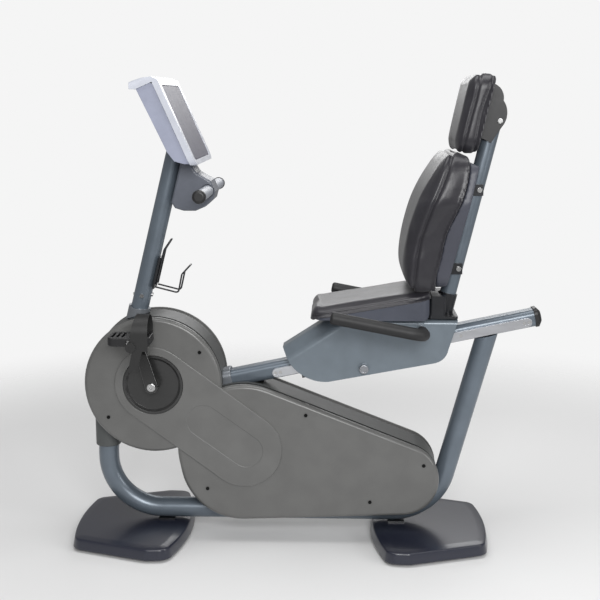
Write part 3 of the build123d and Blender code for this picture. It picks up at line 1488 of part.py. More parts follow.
# Foam covers each handle from its rounded front end round the rear bend.
with BuildLine() as grip_path:
    FilletPolyline(
        (HANDLE_FRONT[0] - 14, -HANDLE_HALF, HANDLE_FRONT[1] + 14 * (HANDLE_FRONT[1] - HANDLE_REAR_Z) / 256),
        (HANDLE_TUBE_X, -HANDLE_HALF, HANDLE_REAR_Z),
        (HANDLE_TUBE_X, -150, HANDLE_REAR_Z - 15 * 102 / 132),
        radius=38,
    )
with BuildPart() as left_grip:
    with BuildSketch(Plane(origin=grip_path.line @ 0, z_dir=grip_path.line % 0)):
        Circle(GRIP_RADIUS)
    sweep(path=grip_path.line)
    fillet(left_grip.edges().sort_by(Axis.X)[0], radius=9)
    with BuildSketch(Plane(origin=handle_path.line @ 0, z_dir=handle_path.line % 0)):
        Circle(HANDLE_RADIUS)
    sweep(path=handle_path.line, mode=Mode.SUBTRACT)
with BuildPart() as handle_grips:
    add(left_grip.part)
    mirror(left_grip.part, about=Plane.XZ)
save(handle_grips, "handle_grips")

# The lock's sprung pin runs through the left plate's boss; it stops just off the bar.
with BuildPart() as lock_knob:
    with BuildSketch(side(-26.1)):
        with Locations((KNOB_X, KNOB_Z)):
            Circle(PIN_RADIUS)
    extrude(amount=CARRIAGE_HALF + 10 - 26.1)
    with BuildSketch(side(-CARRIAGE_HALF - 3.4)):
        with Locations((KNOB_X, KNOB_Z)):
            Circle(14.5)
    extrude(amount=11)
    chamfer(lock_knob.faces().sort_by(Axis.Y)[0].edges(), length=2)
save(lock_knob, "lock_knob")

# --- Fasteners ----------------------------------------------------------------------------

MAST_BOLT_Z = 782.0
with BuildPart() as left_screws:
    with BuildSketch(side(-CASING_HALF)):
        with Locations(*COVER_SCREWS):
            Circle(5.5)
    extrude(amount=2.2)
    with BuildSketch(side(-CASING_HALF + 20)):
        with Locations(*COVER_SCREWS):
            Circle(2.45)
    extrude(amount=20)
with BuildPart() as left_rail_screws:
    with BuildSketch(side(-BEAM_WIDTH / 2 - RAIL_THICKNESS + 3)):
        with Locations(*rail_spots):
            Circle(4.9)
    extrude(amount=3)
    with BuildSketch(side(-BEAM_WIDTH / 2)):
        with Locations(*rail_spots):
            Circle(2.95)
    extrude(amount=RAIL_THICKNESS - 3)
# Four bolts clamp the mast above its collar.
with BuildPart() as mast_bolts:
    for turn in range(4):
        bolt_plane = mast_plane(MAST_BOLT_Z).rotated((0, 0, 90 * turn))
        inside = bolt_plane.from_local_coords((MAST_RADIUS - 4, 0, 0))
        with BuildSketch(Plane(origin=inside, z_dir=bolt_plane.x_dir)):
            Circle(6.5)
        extrude(amount=8)
    with BuildSketch(mast_plane(MAST_BOLT_Z - 20)):
        Circle(MAST_RADIUS + 0.02)
    extrude(amount=40, mode=Mode.SUBTRACT)

side_screws_mirrored = [mirror(shape.part, about=Plane.XZ) for shape in (left_screws, left_rail_screws)]
with BuildPart() as frame_screws:
    add(left_screws.part)
    add(left_rail_screws.part)
    add(side_screws_mirrored)
    add(mast_bolts.part)
save(frame_screws, "frame_screws")
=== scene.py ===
import json
import math

import bmesh
import bpy
import numpy as np
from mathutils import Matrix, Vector


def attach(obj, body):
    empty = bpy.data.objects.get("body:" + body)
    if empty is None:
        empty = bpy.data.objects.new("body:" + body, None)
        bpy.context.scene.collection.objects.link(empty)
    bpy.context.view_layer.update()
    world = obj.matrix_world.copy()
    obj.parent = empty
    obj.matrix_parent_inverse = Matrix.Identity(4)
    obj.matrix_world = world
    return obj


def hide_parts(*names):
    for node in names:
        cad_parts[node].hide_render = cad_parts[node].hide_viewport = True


# Looks of the recumbent exercise bike. Everything is in metres in the CAD frame: +X runs from
# the console to the seat, +Z is up and -Y is the rider's left. Lengths written with MM are in
# millimetres.

MM = 0.001

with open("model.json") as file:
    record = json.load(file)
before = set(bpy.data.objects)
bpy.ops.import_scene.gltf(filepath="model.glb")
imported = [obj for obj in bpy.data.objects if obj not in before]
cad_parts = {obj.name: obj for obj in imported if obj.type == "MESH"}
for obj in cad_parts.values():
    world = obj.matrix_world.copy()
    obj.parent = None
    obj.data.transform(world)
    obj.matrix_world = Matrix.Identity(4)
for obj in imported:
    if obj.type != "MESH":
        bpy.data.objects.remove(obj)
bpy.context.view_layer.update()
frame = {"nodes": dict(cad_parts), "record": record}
record = frame["record"]
nodes = frame["nodes"]
scene = bpy.context.scene

# --- Camera, floor and light ---------------------------------------------------------------

CAMERA_SPOT = (0.105, -3.250, 1.373)
CAMERA_DROP = math.radians(10.67)
CAMERA_TURN = math.radians(2.10)
CAMERA_LENS = 64.3

camera_data = bpy.data.cameras.new("camera")
camera_data.lens = CAMERA_LENS
camera_data.sensor_width = 36.0
camera = bpy.data.objects.new("camera", camera_data)
camera.location = CAMERA_SPOT
camera.rotation_euler = (math.pi / 2 - CAMERA_DROP, 0.0, CAMERA_TURN)
scene.collection.objects.link(camera)
scene.camera = camera
scene.view_settings.view_transform = "Standard"

BACKDROP = (0.913, 0.913, 0.913, 1)
AMBIENT = 0.34

# The backdrop is bright, and lights the object more softly than it shows.
world = bpy.data.worlds.new("studio")
world.use_nodes = True
sky = world.node_tree
sky.nodes["Background"].inputs["Color"].default_value = BACKDROP
ray = sky.nodes.new("ShaderNodeLightPath")
level = sky.nodes.new("ShaderNodeMapRange")
level.inputs["To Min"].default_value = AMBIENT
level.inputs["To Max"].default_value = 1.0
sky.links.new(ray.outputs["Is Camera Ray"], level.inputs["Value"])
sky.links.new(level.outputs["Result"], sky.nodes["Background"].inputs["Strength"])
scene.world = world


def area_light(name, spot, aim, size, power):
    light = bpy.data.lights.new(name, "AREA")
    light.shape = "RECTANGLE"
    light.size, light.size_y = size
    light.energy = power
    lamp = bpy.data.objects.new(name, light)
    lamp.location = spot
    lamp.rotation_euler = (Vector(aim) - Vector(spot)).to_track_quat("-Z", "Y").to_euler()
    scene.collection.objects.link(lamp)


area_light("key", (0.5, -4.3, 2.3), (0.0, 0.0, 0.6), (2.2, 1.3), 135)
area_light("top", (0.1, -0.3, 3.4), (0.0, 0.0, 0.4), (3.4, 1.4), 52)
area_light("side", (3.2, -1.8, 1.6), (0.1, 0.0, 0.7), (0.8, 1.8), 30)
area_light("rim", (0.3, 3.0, 2.2), (0.0, 0.0, 0.6), (2.4, 1.2), 26)

# --- Materials -----------------------------------------------------------------------------


def node_material(name):
    """New material with its node tree and the Principled shader in it."""
    material = bpy.data.materials.new(name)
    material.use_nodes = True
    return material, material.node_tree, material.node_tree.nodes["Principled BSDF"]


def add_node(tree, kind, **inputs):
    """Node of this kind with its inputs set: a tuple (node, socket) is a link."""
    node = tree.nodes.new(kind)
    for key, value in inputs.items():
        socket = node.inputs[key]
        if isinstance(value, tuple) and len(value) == 2 and hasattr(value[0], "outputs"):
            tree.links.new(value[0].outputs[value[1]], socket)
        else:
            socket.default_value = value
    return node


def finish_material(
    name,
    color,
    rough,
    metallic=0.0,
    coat=0.0,
    coat_rough=0.1,
    mottle=0.06,
    mottle_scale=14.0,
    rough_spread=0.06,
    grain=900.0,
    grain_depth=0.000012,
    edge=0.0,
    edge_width=0.0012,
    brush=0.0,
    specular=0.5,
):
    """Painted, moulded or metal surface: mottled colour, uneven gloss, fine grain, rounded and
    lightly worn edges."""
    material, tree, shader = node_material(name)
    place = add_node(tree, "ShaderNodeTexCoord")
    broad = add_node(tree, "ShaderNodeTexNoise", Vector=(place, "Object"), Scale=mottle_scale, Detail=5.0)
    dark = tuple(c * (1 - mottle) for c in color) + (1,)
    light = tuple(min(1.0, c * (1 + mottle)) for c in color) + (1,)
    tone = tree.nodes.new("ShaderNodeValToRGB")
    tone.color_ramp.elements[0].position = 0.35
    tone.color_ramp.elements[1].position = 0.65
    tone.color_ramp.elements[0].color = dark
    tone.color_ramp.elements[1].color = light
    tree.links.new(broad.outputs["Fac"], tone.inputs["Fac"])
    color_out = (tone, "Color")

    stretch = (1.0, 1.0, 1.0) if not brush else (0.06, 1.0, 1.0)
    mapped = add_node(tree, "ShaderNodeMapping", Vector=(place, "Object"), Scale=stretch)
    fine = add_node(tree, "ShaderNodeTexNoise", Vector=(mapped, "Vector"), Scale=grain, Detail=3.0)
    gloss_noise = add_node(
        tree, "ShaderNodeTexNoise", Vector=(mapped, "Vector"), Scale=mottle_scale * 4, Detail=4.0
    )
    gloss = add_node(
        tree,
        "ShaderNodeMapRange",
        Value=(gloss_noise, "Fac"),
        **{"To Min": max(0.02, rough - rough_spread), "To Max": min(1.0, rough + rough_spread)},
    )
    tree.links.new(gloss.outputs["Result"], shader.inputs["Roughness"])
    rounded = tree.nodes.new("ShaderNodeBevel")
    rounded.samples = 4
    rounded.inputs["Radius"].default_value = edge_width
    bump = add_node(
        tree,
        "ShaderNodeBump",
        Height=(fine, "Fac"),
        Normal=(rounded, "Normal"),
        Strength=1.0,
        Distance=grain_depth,
    )
    tree.links.new(bump.outputs["Normal"], shader.inputs["Normal"])
    if edge:
        shape = tree.nodes.new("ShaderNodeNewGeometry")
        facing = tree.nodes.new("ShaderNodeVectorMath")
        facing.operation = "DOT_PRODUCT"
        tree.links.new(rounded.outputs["Normal"], facing.inputs[0])
        tree.links.new(shape.outputs["Normal"], facing.inputs[1])
        worn = add_node(
            tree,
            "ShaderNodeMapRange",
            Value=(facing, "Value"),
            **{"From Min": 0.98, "From Max": 0.75, "To Min": 0.0, "To Max": edge},
        )
        bright = tuple(min(1.0, c * 1.6 + 0.05) for c in color) + (1,)
        mixed = tree.nodes.new("ShaderNodeMix")
        mixed.data_type = "RGBA"
        tree.links.new(worn.outputs["Result"], mixed.inputs["Factor"])
        tree.links.new(tone.outputs["Color"], mixed.inputs[6])
        mixed.inputs[7].default_value = bright
        color_out = (mixed, 2)
    tree.links.new(color_out[0].outputs[color_out[1]], shader.inputs["Base Color"])
    shader.inputs["Metallic"].default_value = metallic
    shader.inputs["Coat Weight"].default_value = coat
    shader.inputs["Coat Roughness"].default_value = coat_rough
    shader.inputs["Specular IOR Level"].default_value = specular
    return material


def vinyl_material(name, color, rough, grain=520.0, depth=0.00022):
    """Upholstery vinyl: pebbled leather grain, faint creases and an uneven soft shine."""
    material, tree, shader = node_material(name)
    place = add_node(tree, "ShaderNodeTexCoord")
    warp = add_node(tree, "ShaderNodeTexNoise", Vector=(place, "Object"), Scale=60.0, Detail=4.0)
    shifted = tree.nodes.new("ShaderNodeVectorMath")
    shifted.operation = "MULTIPLY_ADD"
    tree.links.new(warp.outputs["Color"], shifted.inputs[0])
    shifted.inputs[1].default_value = (0.006, 0.006, 0.006)
    tree.links.new(place.outputs["Object"], shifted.inputs[2])
    pebbles = add_node(tree, "ShaderNodeTexVoronoi", Vector=(shifted, "Vector"), Scale=grain)
    pebbles.feature = "SMOOTH_F1"
    pores = add_node(tree, "ShaderNodeTexNoise", Vector=(place, "Object"), Scale=1800.0, Detail=2.0)
    creases = add_node(tree, "ShaderNodeTexNoise", Vector=(place, "Object"), Scale=26.0, Detail=6.0)
    pebble_bump = add_node(
        tree, "ShaderNodeBump", Height=(pebbles, "Distance"), Strength=0.55, Distance=depth
    )
    pebble_bump.invert = True
    pore_bump = add_node(
        tree,
        "ShaderNodeBump",
        Height=(pores, "Fac"),
        Normal=(pebble_bump, "Normal"),
        Strength=0.3,
        Distance=depth / 3,
    )
    crease_bump = add_node(
        tree,
        "ShaderNodeBump",
        Height=(creases, "Fac"),
        Normal=(pore_bump, "Normal"),
        Strength=0.25,
        Distance=0.002,
    )
    tree.links.new(crease_bump.outputs["Normal"], shader.inputs["Normal"])
    tone = tree.nodes.new("ShaderNodeValToRGB")
    tone.color_ramp.elements[0].color = tuple(c * 0.82 for c in color) + (1,)
    tone.color_ramp.elements[1].color = tuple(c * 1.18 for c in color) + (1,)
    tree.links.new(creases.outputs["Fac"], tone.inputs["Fac"])
    tree.links.new(tone.outputs["Color"], shader.inputs["Base Color"])
    gloss = add_node(
        tree,
        "ShaderNodeMapRange",
        Value=(creases, "Fac"),
        **{"To Min": rough - 0.07, "To Max": rough + 0.07},
    )
    tree.links.new(gloss.outputs["Result"], shader.inputs["Roughness"])
    shader.inputs["Sheen Weight"].default_value = 0.10
    shader.inputs["Sheen Roughness"].default_value = 0.45
    shader.inputs["Specular IOR Level"].default_value = 0.5
    return material


PAINT = dict(rough=0.34, coat=0.25, coat_rough=0.2, grain=1400.0, grain_depth=0.000012, edge=0.35)
PLASTIC = dict(rough=0.42, grain=1100.0, grain_depth=0.000025)
FINISHES = {
    "frame_paint": dict(PAINT, color=(0.125, 0.152, 0.182), metallic=0.35),
    "mast_paint": dict(PAINT, color=(0.125, 0.152, 0.182), metallic=0.35),
    "carriage_paint": dict(PAINT, color=(0.150, 0.180, 0.208), metallic=0.25),
    "casing_grey": dict(
        color=(0.112, 0.112, 0.109), rough=0.34, coat=0.2, coat_rough=0.22, grain=1300.0, edge=0.3,
    ),
    "belt_cover_grey": dict(
        color=(0.118, 0.118, 0.115), rough=0.34, coat=0.2, coat_rough=0.22, grain=1300.0, edge=0.5,
    ),
    "band_grey": dict(PLASTIC, color=(0.045, 0.047, 0.046)),
    "foot_plastic": dict(
        color=(0.014, 0.016, 0.029), rough=0.30, coat=0.35, coat_rough=0.18, grain=1400.0,
        grain_depth=0.000008, rough_spread=0.02, mottle=0.03,
    ),
    "pad_rubber": dict(color=(0.012, 0.012, 0.012), rough=0.75, grain=500.0, grain_depth=0.00008),
    "boot_rubber": dict(color=(0.075, 0.080, 0.080), rough=0.5, grain=800.0, grain_depth=0.00005),
    "collar_grey": dict(color=(0.20, 0.215, 0.235), rough=0.35, metallic=0.5, edge=0.3),
    "black_steel": dict(color=(0.012, 0.013, 0.016), rough=0.35, metallic=0.3, coat=0.4, edge=0.3),
    "crank_black": dict(color=(0.006, 0.006, 0.006), rough=0.16, coat=0.8, coat_rough=0.06, edge=0.2),
    "disc_black": dict(color=(0.022, 0.022, 0.022), rough=0.33, coat=0.3, edge=0.4),
    "black_plastic": dict(PLASTIC, color=(0.010, 0.010, 0.011)),
    "strap_black": dict(color=(0.012, 0.012, 0.012), rough=0.5, grain=700.0, grain_depth=0.00015),
    "bright_aluminium": dict(color=(0.62, 0.63, 0.66), rough=0.3, metallic=1.0, brush=1.0),
    "bright_steel": dict(color=(0.60, 0.60, 0.60), rough=0.2, metallic=1.0),
    "zinc_steel": dict(color=(0.38, 0.38, 0.37), rough=0.42, metallic=1.0, mottle=0.15),
    "iron": dict(color=(0.09, 0.09, 0.095), rough=0.6, metallic=0.8, grain=400.0, grain_depth=0.00008),
    "belt_rubber": dict(color=(0.012, 0.012, 0.012), rough=0.65, grain=400.0, grain_depth=0.00008),
    "copper_coil": dict(color=(0.40, 0.17, 0.08), rough=0.4, metallic=0.9),
    "console_blue": dict(color=(0.29, 0.31, 0.40), rough=0.36, coat=0.2, grain=1500.0, edge=0.4),
    "console_silver": dict(color=(0.52, 0.54, 0.60), rough=0.3, coat=0.3, coat_rough=0.12),
    "console_screen": dict(color=(0.060, 0.058, 0.085), rough=0.42, specular=0.15),
    "neck_plastic": dict(color=(0.10, 0.11, 0.135), rough=0.34, coat=0.2),
    "bar_grip": dict(color=(0.28, 0.30, 0.34), rough=0.36, grain=600.0, grain_depth=0.00005),
    "foam_grip": dict(color=(0.010, 0.010, 0.011), rough=0.55, grain=900.0, grain_depth=0.00005),
    "shell_plastic": dict(PLASTIC, color=(0.050, 0.053, 0.070)),
    "pan_plastic": dict(PLASTIC, color=(0.052, 0.058, 0.078)),
    "glide_nylon": dict(color=(0.02, 0.02, 0.02), rough=0.55),
    "knob_metal": dict(color=(0.30, 0.31, 0.33), rough=0.35, metallic=0.9, edge=0.4),
}
looks = {name: finish_material(name, **finish) for name, finish in FINISHES.items()}
looks["vinyl"] = vinyl_material("vinyl", (0.020, 0.019, 0.024), 0.36)

for part in record["subparts"]:
    node = nodes[part["node"]]
    node.data.materials.clear()
    node.data.materials.append(looks[part["material_slot"]])


def screw_material():
    """Steel screws; the ones in the casing's faces, far out to either side, are blacked."""
    material, tree, shader = node_material("screw_steel")
    place = add_node(tree, "ShaderNodeTexCoord")
    apart = add_node(tree, "ShaderNodeSeparateXYZ", Vector=(place, "Object"))
    side = tree.nodes.new("ShaderNodeMath")
    side.operation = "ABSOLUTE"
    tree.links.new(apart.outputs["Y"], side.inputs[0])
    tone = tree.nodes.new("ShaderNodeValToRGB")
    tone.color_ramp.interpolation = "CONSTANT"
    tone.color_ramp.elements[0].color = (0.55, 0.55, 0.55, 1)
    tone.color_ramp.elements[1].position = 0.088
    tone.color_ramp.elements[1].color = (0.012, 0.012, 0.012, 1)
    tree.links.new(side.outputs["Value"], tone.inputs["Fac"])
    tree.links.new(tone.outputs["Color"], shader.inputs["Base Color"])
    turned = add_node(tree, "ShaderNodeTexNoise", Vector=(place, "Object"), Scale=900.0, Detail=3.0)
    bump = add_node(tree, "ShaderNodeBump", Height=(turned, "Fac"), Strength=1.0, Distance=0.00002)
    tree.links.new(bump.outputs["Normal"], shader.inputs["Normal"])
    shader.inputs["Metallic"].default_value = 0.9
    shader.inputs["Roughness"].default_value = 0.32
    return material


nodes["frame_screws"].data.materials[0] = screw_material()

# Pressed and moulded parts have rounded edges.
SOFT_EDGES = {
    "console_shell": 7.0,
    "console_trim": 3.0,
    "console_face": 2.0,
    "beam_end_cap": 5.0,
    "beam_collar": 3.0,
    "head_bracket": 3.0,
    "seat_post_bracket": 3.0,
    "mast_collar": 1.5,
    "backrest_brackets": 1.5,
}
for soft_node, soft_width in SOFT_EDGES.items():
    weld = nodes[soft_node].modifiers.new("weld", "WELD")
    weld.merge_threshold = 0.01 * MM
    flat = nodes[soft_node].modifiers.new("flat", "DECIMATE")
    flat.decimate_type = "DISSOLVE"
    flat.angle_limit = math.radians(1.0)
    soft = nodes[soft_node].modifiers.new("soft", "BEVEL")
    soft.width = soft_width * MM
    soft.segments = 4
    soft.limit_method = "ANGLE"
    soft.angle_limit = math.radians(35.0)
    nodes[soft_node].modifiers.new("even_normals", "WEIGHTED_NORMAL").keep_sharp = True

# --- Mesh helpers --------------------------------------------------------------------------


def arc_points(centre, radius, start, end, steps):
    """Points on a circle in a plane from one angle to another, both ends included."""
    turns = [start + (end - start) * k / steps for k in range(steps + 1)]
    return [(centre[0] + radius * math.cos(t), centre[1] + radius * math.sin(t)) for t in turns]


def arc_through(a, b, c, steps):
    """Points on the arc from a through b to c, both ends included."""
    ax, az, bx, bz, cx, cz = *a, *b, *c
    d = 2 * (ax * (bz - cz) + bx * (cz - az) + cx * (az - bz))
    sa, sb, sc = ax * ax + az * az, bx * bx + bz * bz, cx * cx + cz * cz
    ux = (sa * (bz - cz) + sb * (cz - az) + sc * (az - bz)) / d
    uz = (sa * (cx - bx) + sb * (ax - cx) + sc * (bx - ax)) / d
    start, middle, end = (math.atan2(p[1] - uz, p[0] - ux) for p in (a, b, c))
    sweep = (end - start) % math.tau
    if (middle - start) % math.tau > sweep:
        sweep -= math.tau
    return arc_points((ux, uz), math.hypot(ax - ux, az - uz), start, start + sweep, steps)


def rounded_loop(sides, radius, steps=8):
    """Closed outline along these sides, with the corner at each side's end rounded."""
    ends = []
    for i, side in enumerate(sides):
        follow = sides[(i + 1) % len(sides)]
        into = (Vector(side[-1]) - Vector(side[-2])).normalized()
        out = (Vector(follow[1]) - Vector(follow[0])).normalized()
        turn = math.atan2(into.x * out.y - into.y * out.x, into.dot(out))
        size = radius[i] if isinstance(radius, (list, tuple)) else radius
        ends.append((Vector(side[-1]), into, turn, size, abs(size * math.tan(turn / 2))))
    loop = []
    for i, side in enumerate(sides):
        first_corner, _, _, _, first_reach = ends[i - 1]
        corner, into, turn, size, reach = ends[i]
        for p in side[1:-1]:
            clear = (Vector(p) - first_corner).length > first_reach * 1.05
            if clear and (Vector(p) - corner).length > reach * 1.05:
                loop.append(tuple(p))
        start = corner - into * reach
        normal = Vector((-into.y, into.x)) * (1 if turn > 0 else -1)
        centre = start + normal * size
        for k in range(steps + 1):
            a = turn * k / steps
            arm = start - centre
            loop.append(
                (
                    centre.x + arm.x * math.cos(a) - arm.y * math.sin(a),
                    centre.y + arm.x * math.sin(a) + arm.y * math.cos(a),
                )
            )
    return loop


def inset_loop(loop, distance):
    """The same outline, this far inside; its points keep their order."""
    area = sum(
        loop[i - 1][0] * loop[i][1] - loop[i][0] * loop[i - 1][1] for i in range(len(loop))
    )
    way = 1 if area > 0 else -1
    moved = []
    for i, p in enumerate(loop):
        before = (Vector(p) - Vector(loop[i - 1])).normalized()
        after = (Vector(loop[(i + 1) % len(loop)]) - Vector(p)).normalized()
        bisector = before + after
        bisector.normalize()
        inward = Vector((-bisector.y, bisector.x)) * way
        stretch = max(0.5, bisector.dot(after))
        moved.append((p[0] + inward.x * distance / stretch, p[1] + inward.y * distance / stretch))
    return moved


def stadium(first, second, radius, steps=28):
    """Outline drawn tightly around two equal circles."""
    toward = math.atan2(second[1] - first[1], second[0] - first[0])
    quarter = math.pi / 2
    return arc_points(second, radius, toward - quarter, toward + quarter, steps) + arc_points(
        first, radius, toward + quarter, toward + 3 * quarter, steps
    )


def in_side_plane(loop, y):
    return [Vector((x * MM, y * MM, z * MM)) for x, z in loop]


def in_floor_plane(loop, z):
    return [Vector((x * MM, y * MM, z * MM)) for x, y in loop]


def ring_verts(bm, points):
    return [bm.verts.new(p) for p in points]


def bridge(bm, first, second):
    """Quads between two closed rings with the same number of points."""
    count = len(first)
    for i in range(count):
        j = (i + 1) % count
        bm.faces.new((first[i], first[j], second[j], second[i]))


def edge_between(bm, a, b):
    return bm.edges.get((a, b)) or bm.edges.new((a, b))


def fill_flat(bm, *rings):
    """Flat face between one outer ring and the rings inside it."""
    edges = [edge_between(bm, ring[i - 1], ring[i]) for ring in rings for i in range(len(ring))]
    bmesh.ops.triangle_fill(bm, use_beauty=True, use_dissolve=False, edges=edges)


def loft(bm, rings, capped=True):
    made = [ring_verts(bm, points) for points in rings]
    for first, second in zip(made, made[1:]):
        bridge(bm, first, second)
    if capped:
        bm.faces.new(made[0])
        bm.faces.new(made[-1])
    return made


def lathe(bm, centre, profile, steps=64):
    """Shape turned about an axis along Y: (radius, y) pairs in millimetres around a centre."""
    rings = []
    for radius, along in profile:
        ring = []
        for k in range(steps):
            a = math.tau * k / steps
            point = (centre[0] + radius * math.cos(a), along, centre[1] + radius * math.sin(a))
            ring.append(Vector(point) * MM)
        rings.append(ring)
    return loft(bm, rings)


def set_shading(mesh, sharp_degrees):
    mesh.polygons.foreach_set("use_smooth", [True] * len(mesh.polygons))
    mesh.set_sharp_from_angle(angle=math.radians(sharp_degrees))


def put(name, mesh, look, body, replaced=(), sharp_degrees=38.0, weighted=True):
    """Adds a finished mesh as a piece of the object."""
    set_shading(mesh, sharp_degrees)
    mesh.materials.clear()
    mesh.materials.append(looks[look])
    piece = bpy.data.objects.new(name, mesh)
    scene.collection.objects.link(piece)
    if weighted:
        piece.modifiers.new("even_normals", "WEIGHTED_NORMAL").keep_sharp = True
    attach(piece, body)
    if replaced:
        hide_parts(*replaced)
    return piece


def to_mesh(bm, name):
    bmesh.ops.remove_doubles(bm, verts=bm.verts, dist=0.00002)
    bmesh.ops.recalc_face_normals(bm, faces=bm.faces)
    mesh = bpy.data.meshes.new(name)
    bm.to_mesh(mesh)
    bm.free()
    return mesh


def applied(obj):
    """The object's mesh with its modifiers applied; the object itself is removed."""
    graph = bpy.context.evaluated_depsgraph_get()
    mesh = bpy.data.meshes.new_from_object(obj.evaluated_get(graph))
    bpy.data.objects.remove(obj)
    return mesh


def temporary(mesh):
    obj = bpy.data.objects.new("work", mesh)
    scene.collection.objects.link(obj)
    return obj


def bevelled(mesh, width, segments=4, angle=30.0):
    """The mesh with its sharp edges rounded to this width in millimetres."""
    obj = temporary(mesh)
    bevel = obj.modifiers.new("round", "BEVEL")
    bevel.width = width * MM
    bevel.segments = segments
    bevel.limit_method = "ANGLE"
    bevel.angle_limit = math.radians(angle)
    bevel.use_clamp_overlap = True
    return applied(obj)


def cut(mesh, tool, operation="DIFFERENCE"):
    obj, knife = temporary(mesh), temporary(tool)
    boolean = obj.modifiers.new("cut", "BOOLEAN")
    boolean.operation = operation
    boolean.object = knife
    boolean.solver = "EXACT"
    result = applied(obj)
    bpy.data.objects.remove(knife)
    return result


def prism(loop, low, high, place=in_side_plane):
    bm = bmesh.new()
    loft(bm, [place(loop, low), place(loop, high)])
    return to_mesh(bm, "prism")


def joined(*meshes):
    bm = bmesh.new()
    for mesh in meshes:
        bm.from_mesh(mesh)
    mesh = bpy.data.meshes.new("joined")
    bm.to_mesh(mesh)
    bm.free()
    return mesh


def mirrored_y(mesh):
    bm = bmesh.new()
    bm.from_mesh(mesh)
    for vert in bm.verts:
        vert.co.y = -vert.co.y
    bmesh.ops.reverse_faces(bm, faces=bm.faces)
    copy = bpy.data.meshes.new("mirrored")
    bm.to_mesh(copy)
    bm.free()
    return copy


# --- Casing --------------------------------------------------------------------------------

HUB, FRONT, MIDDLE = (-461.0, 511.0), (-462.0, 508.0), (-184.0, 306.0)
BELLY, TAIL = (-190.0, 270.0), (304.0, 212.0)
FRONT_RADIUS, MIDDLE_RADIUS, BELLY_RADIUS, TAIL_RADIUS = 212.0, 206.0, 193.0, 115.0
CASING_HALF = 95.0
DISC_HOLE = 92.5


def tangent_turn(first, first_radius, second, second_radius, way):
    """Angle at which a line touches both circles, on one side or the other."""
    dx, dz = second[0] - first[0], second[1] - first[1]
    lean = math.acos((first_radius - second_radius) / math.hypot(dx, dz))
    return math.atan2(dz, dx) + way * lean


def casing_outline(inset):
    """Side view of the casing, this far inside its edge; always the same number of points."""
    radii = (FRONT_RADIUS, MIDDLE_RADIUS, BELLY_RADIUS, TAIL_RADIUS)
    front, middle, belly, tail = (r - inset for r in radii)
    dx, dz = FRONT[0] - MIDDLE[0], FRONT[1] - MIDDLE[1]
    reach, toward = math.hypot(dx, dz), math.atan2(dz, dx)
    half = math.acos((reach**2 + middle**2 - front**2) / (2 * reach * middle))
    back = math.acos((reach**2 + front**2 - middle**2) / (2 * reach * front))
    above = tangent_turn(MIDDLE, middle, TAIL, tail, 1)
    left = tangent_turn(MIDDLE, middle, BELLY, belly, -1) % math.tau
    below = tangent_turn(BELLY, belly, TAIL, tail, -1) % math.tau
    loop = arc_points(MIDDLE, middle, above, toward - half, 10)
    loop += arc_points(FRONT, front, toward - math.pi + back, toward + math.pi - back, 88)[1:]
    loop += arc_points(MIDDLE, middle, toward + half, left, 4)[1:]
    loop += arc_points(BELLY, belly, left, below, 26)
    loop += arc_points(TAIL, tail, below, above + math.tau, 48)
    return loop


COVER_ROUND, COVER_ROUND_DEPTH = 13.0, 14.0
quarter_steps = [math.pi / 2 * k / 8 for k in range(9)]
cover_profile = [(11.0, 92.0), (11.0, 56.0), (8.0, 56.0), (8.0, 77.6), (0.8, 77.6), (0.0, 78.4)]
cover_profile += [
    (COVER_ROUND * (1 - math.cos(t)), CASING_HALF - COVER_ROUND_DEPTH * (1 - math.sin(t)))
    for t in quarter_steps
]


def cover_mesh():
    """One half of the casing's shell on the left: rounded rim, flat face and a hole for the disc."""
    bm = bmesh.new()
    rings = loft(bm, [in_side_plane(casing_outline(i), -y) for i, y in cover_profile], capped=False)
    hole = []
    for radius, y in ((DISC_HOLE + 1.2, 95.0), (DISC_HOLE, 94.0), (DISC_HOLE, 92.0)):
        hole.append(ring_verts(bm, in_side_plane(arc_points(HUB, radius, 0, math.tau, 96)[:-1], -y)))
    bridge(bm, hole[0], hole[1])
    bridge(bm, hole[1], hole[2])
    fill_flat(bm, rings[-1], hole[0])
    fill_flat(bm, rings[0], hole[2])
    return to_mesh(bm, "cover")


left_cover_mesh = cover_mesh()
put("left_cover_shell", left_cover_mesh, "casing_grey", "frame", ["left_cover"])
put("right_cover_shell", mirrored_y(left_cover_mesh), "casing_grey", "frame", ["right_cover"])


def belt_cover_mesh():
    """Raised belt cover on the left, with a soft edge and a shallow oblong recess."""
    bm = bmesh.new()
    outer = [
        in_side_plane(stadium(HUB, MIDDLE, 118.0 - inset), -y)
        for inset, y in ((0, 94.8), (0, 96.4), (0.5, 97.6), (1.5, 98.6), (3.0, 99.0))
    ]
    rings = loft(bm, outer, capped=False)
    first, second = (-308.0, 398.0), (-176.0, 303.0)
    recess = [
        in_side_plane(stadium(first, second, 52.0 - inset), -y)
        for inset, y in ((0, 99.0), (0.7, 98.7), (1.4, 97.9), (2.1, 97.6))
    ]
    recess_rings = loft(bm, recess, capped=False)
    bm.faces.new(recess_rings[-1])
    hole = [
        ring_verts(bm, in_side_plane(arc_points(HUB, radius, 0, math.tau, 96)[:-1], -y))
        for radius, y in ((94.3, 99.0), (93.0, 98.3), (DISC_HOLE, 97.0), (DISC_HOLE, 94.8))
    ]
    for inner, outer_ring in zip(hole, hole[1:]):
        bridge(bm, inner, outer_ring)
    fill_flat(bm, rings[-1], recess_rings[0], hole[0])
    fill_flat(bm, rings[0], hole[-1])
    return to_mesh(bm, "belt_cover")


left_belt_mesh = belt_cover_mesh()
belt_pair = joined(left_belt_mesh, mirrored_y(left_belt_mesh))
put("belt_cover_pair", belt_pair, "belt_cover_grey", "frame", ["belt_covers"])

# --- Feet ----------------------------------------------------------------------------------

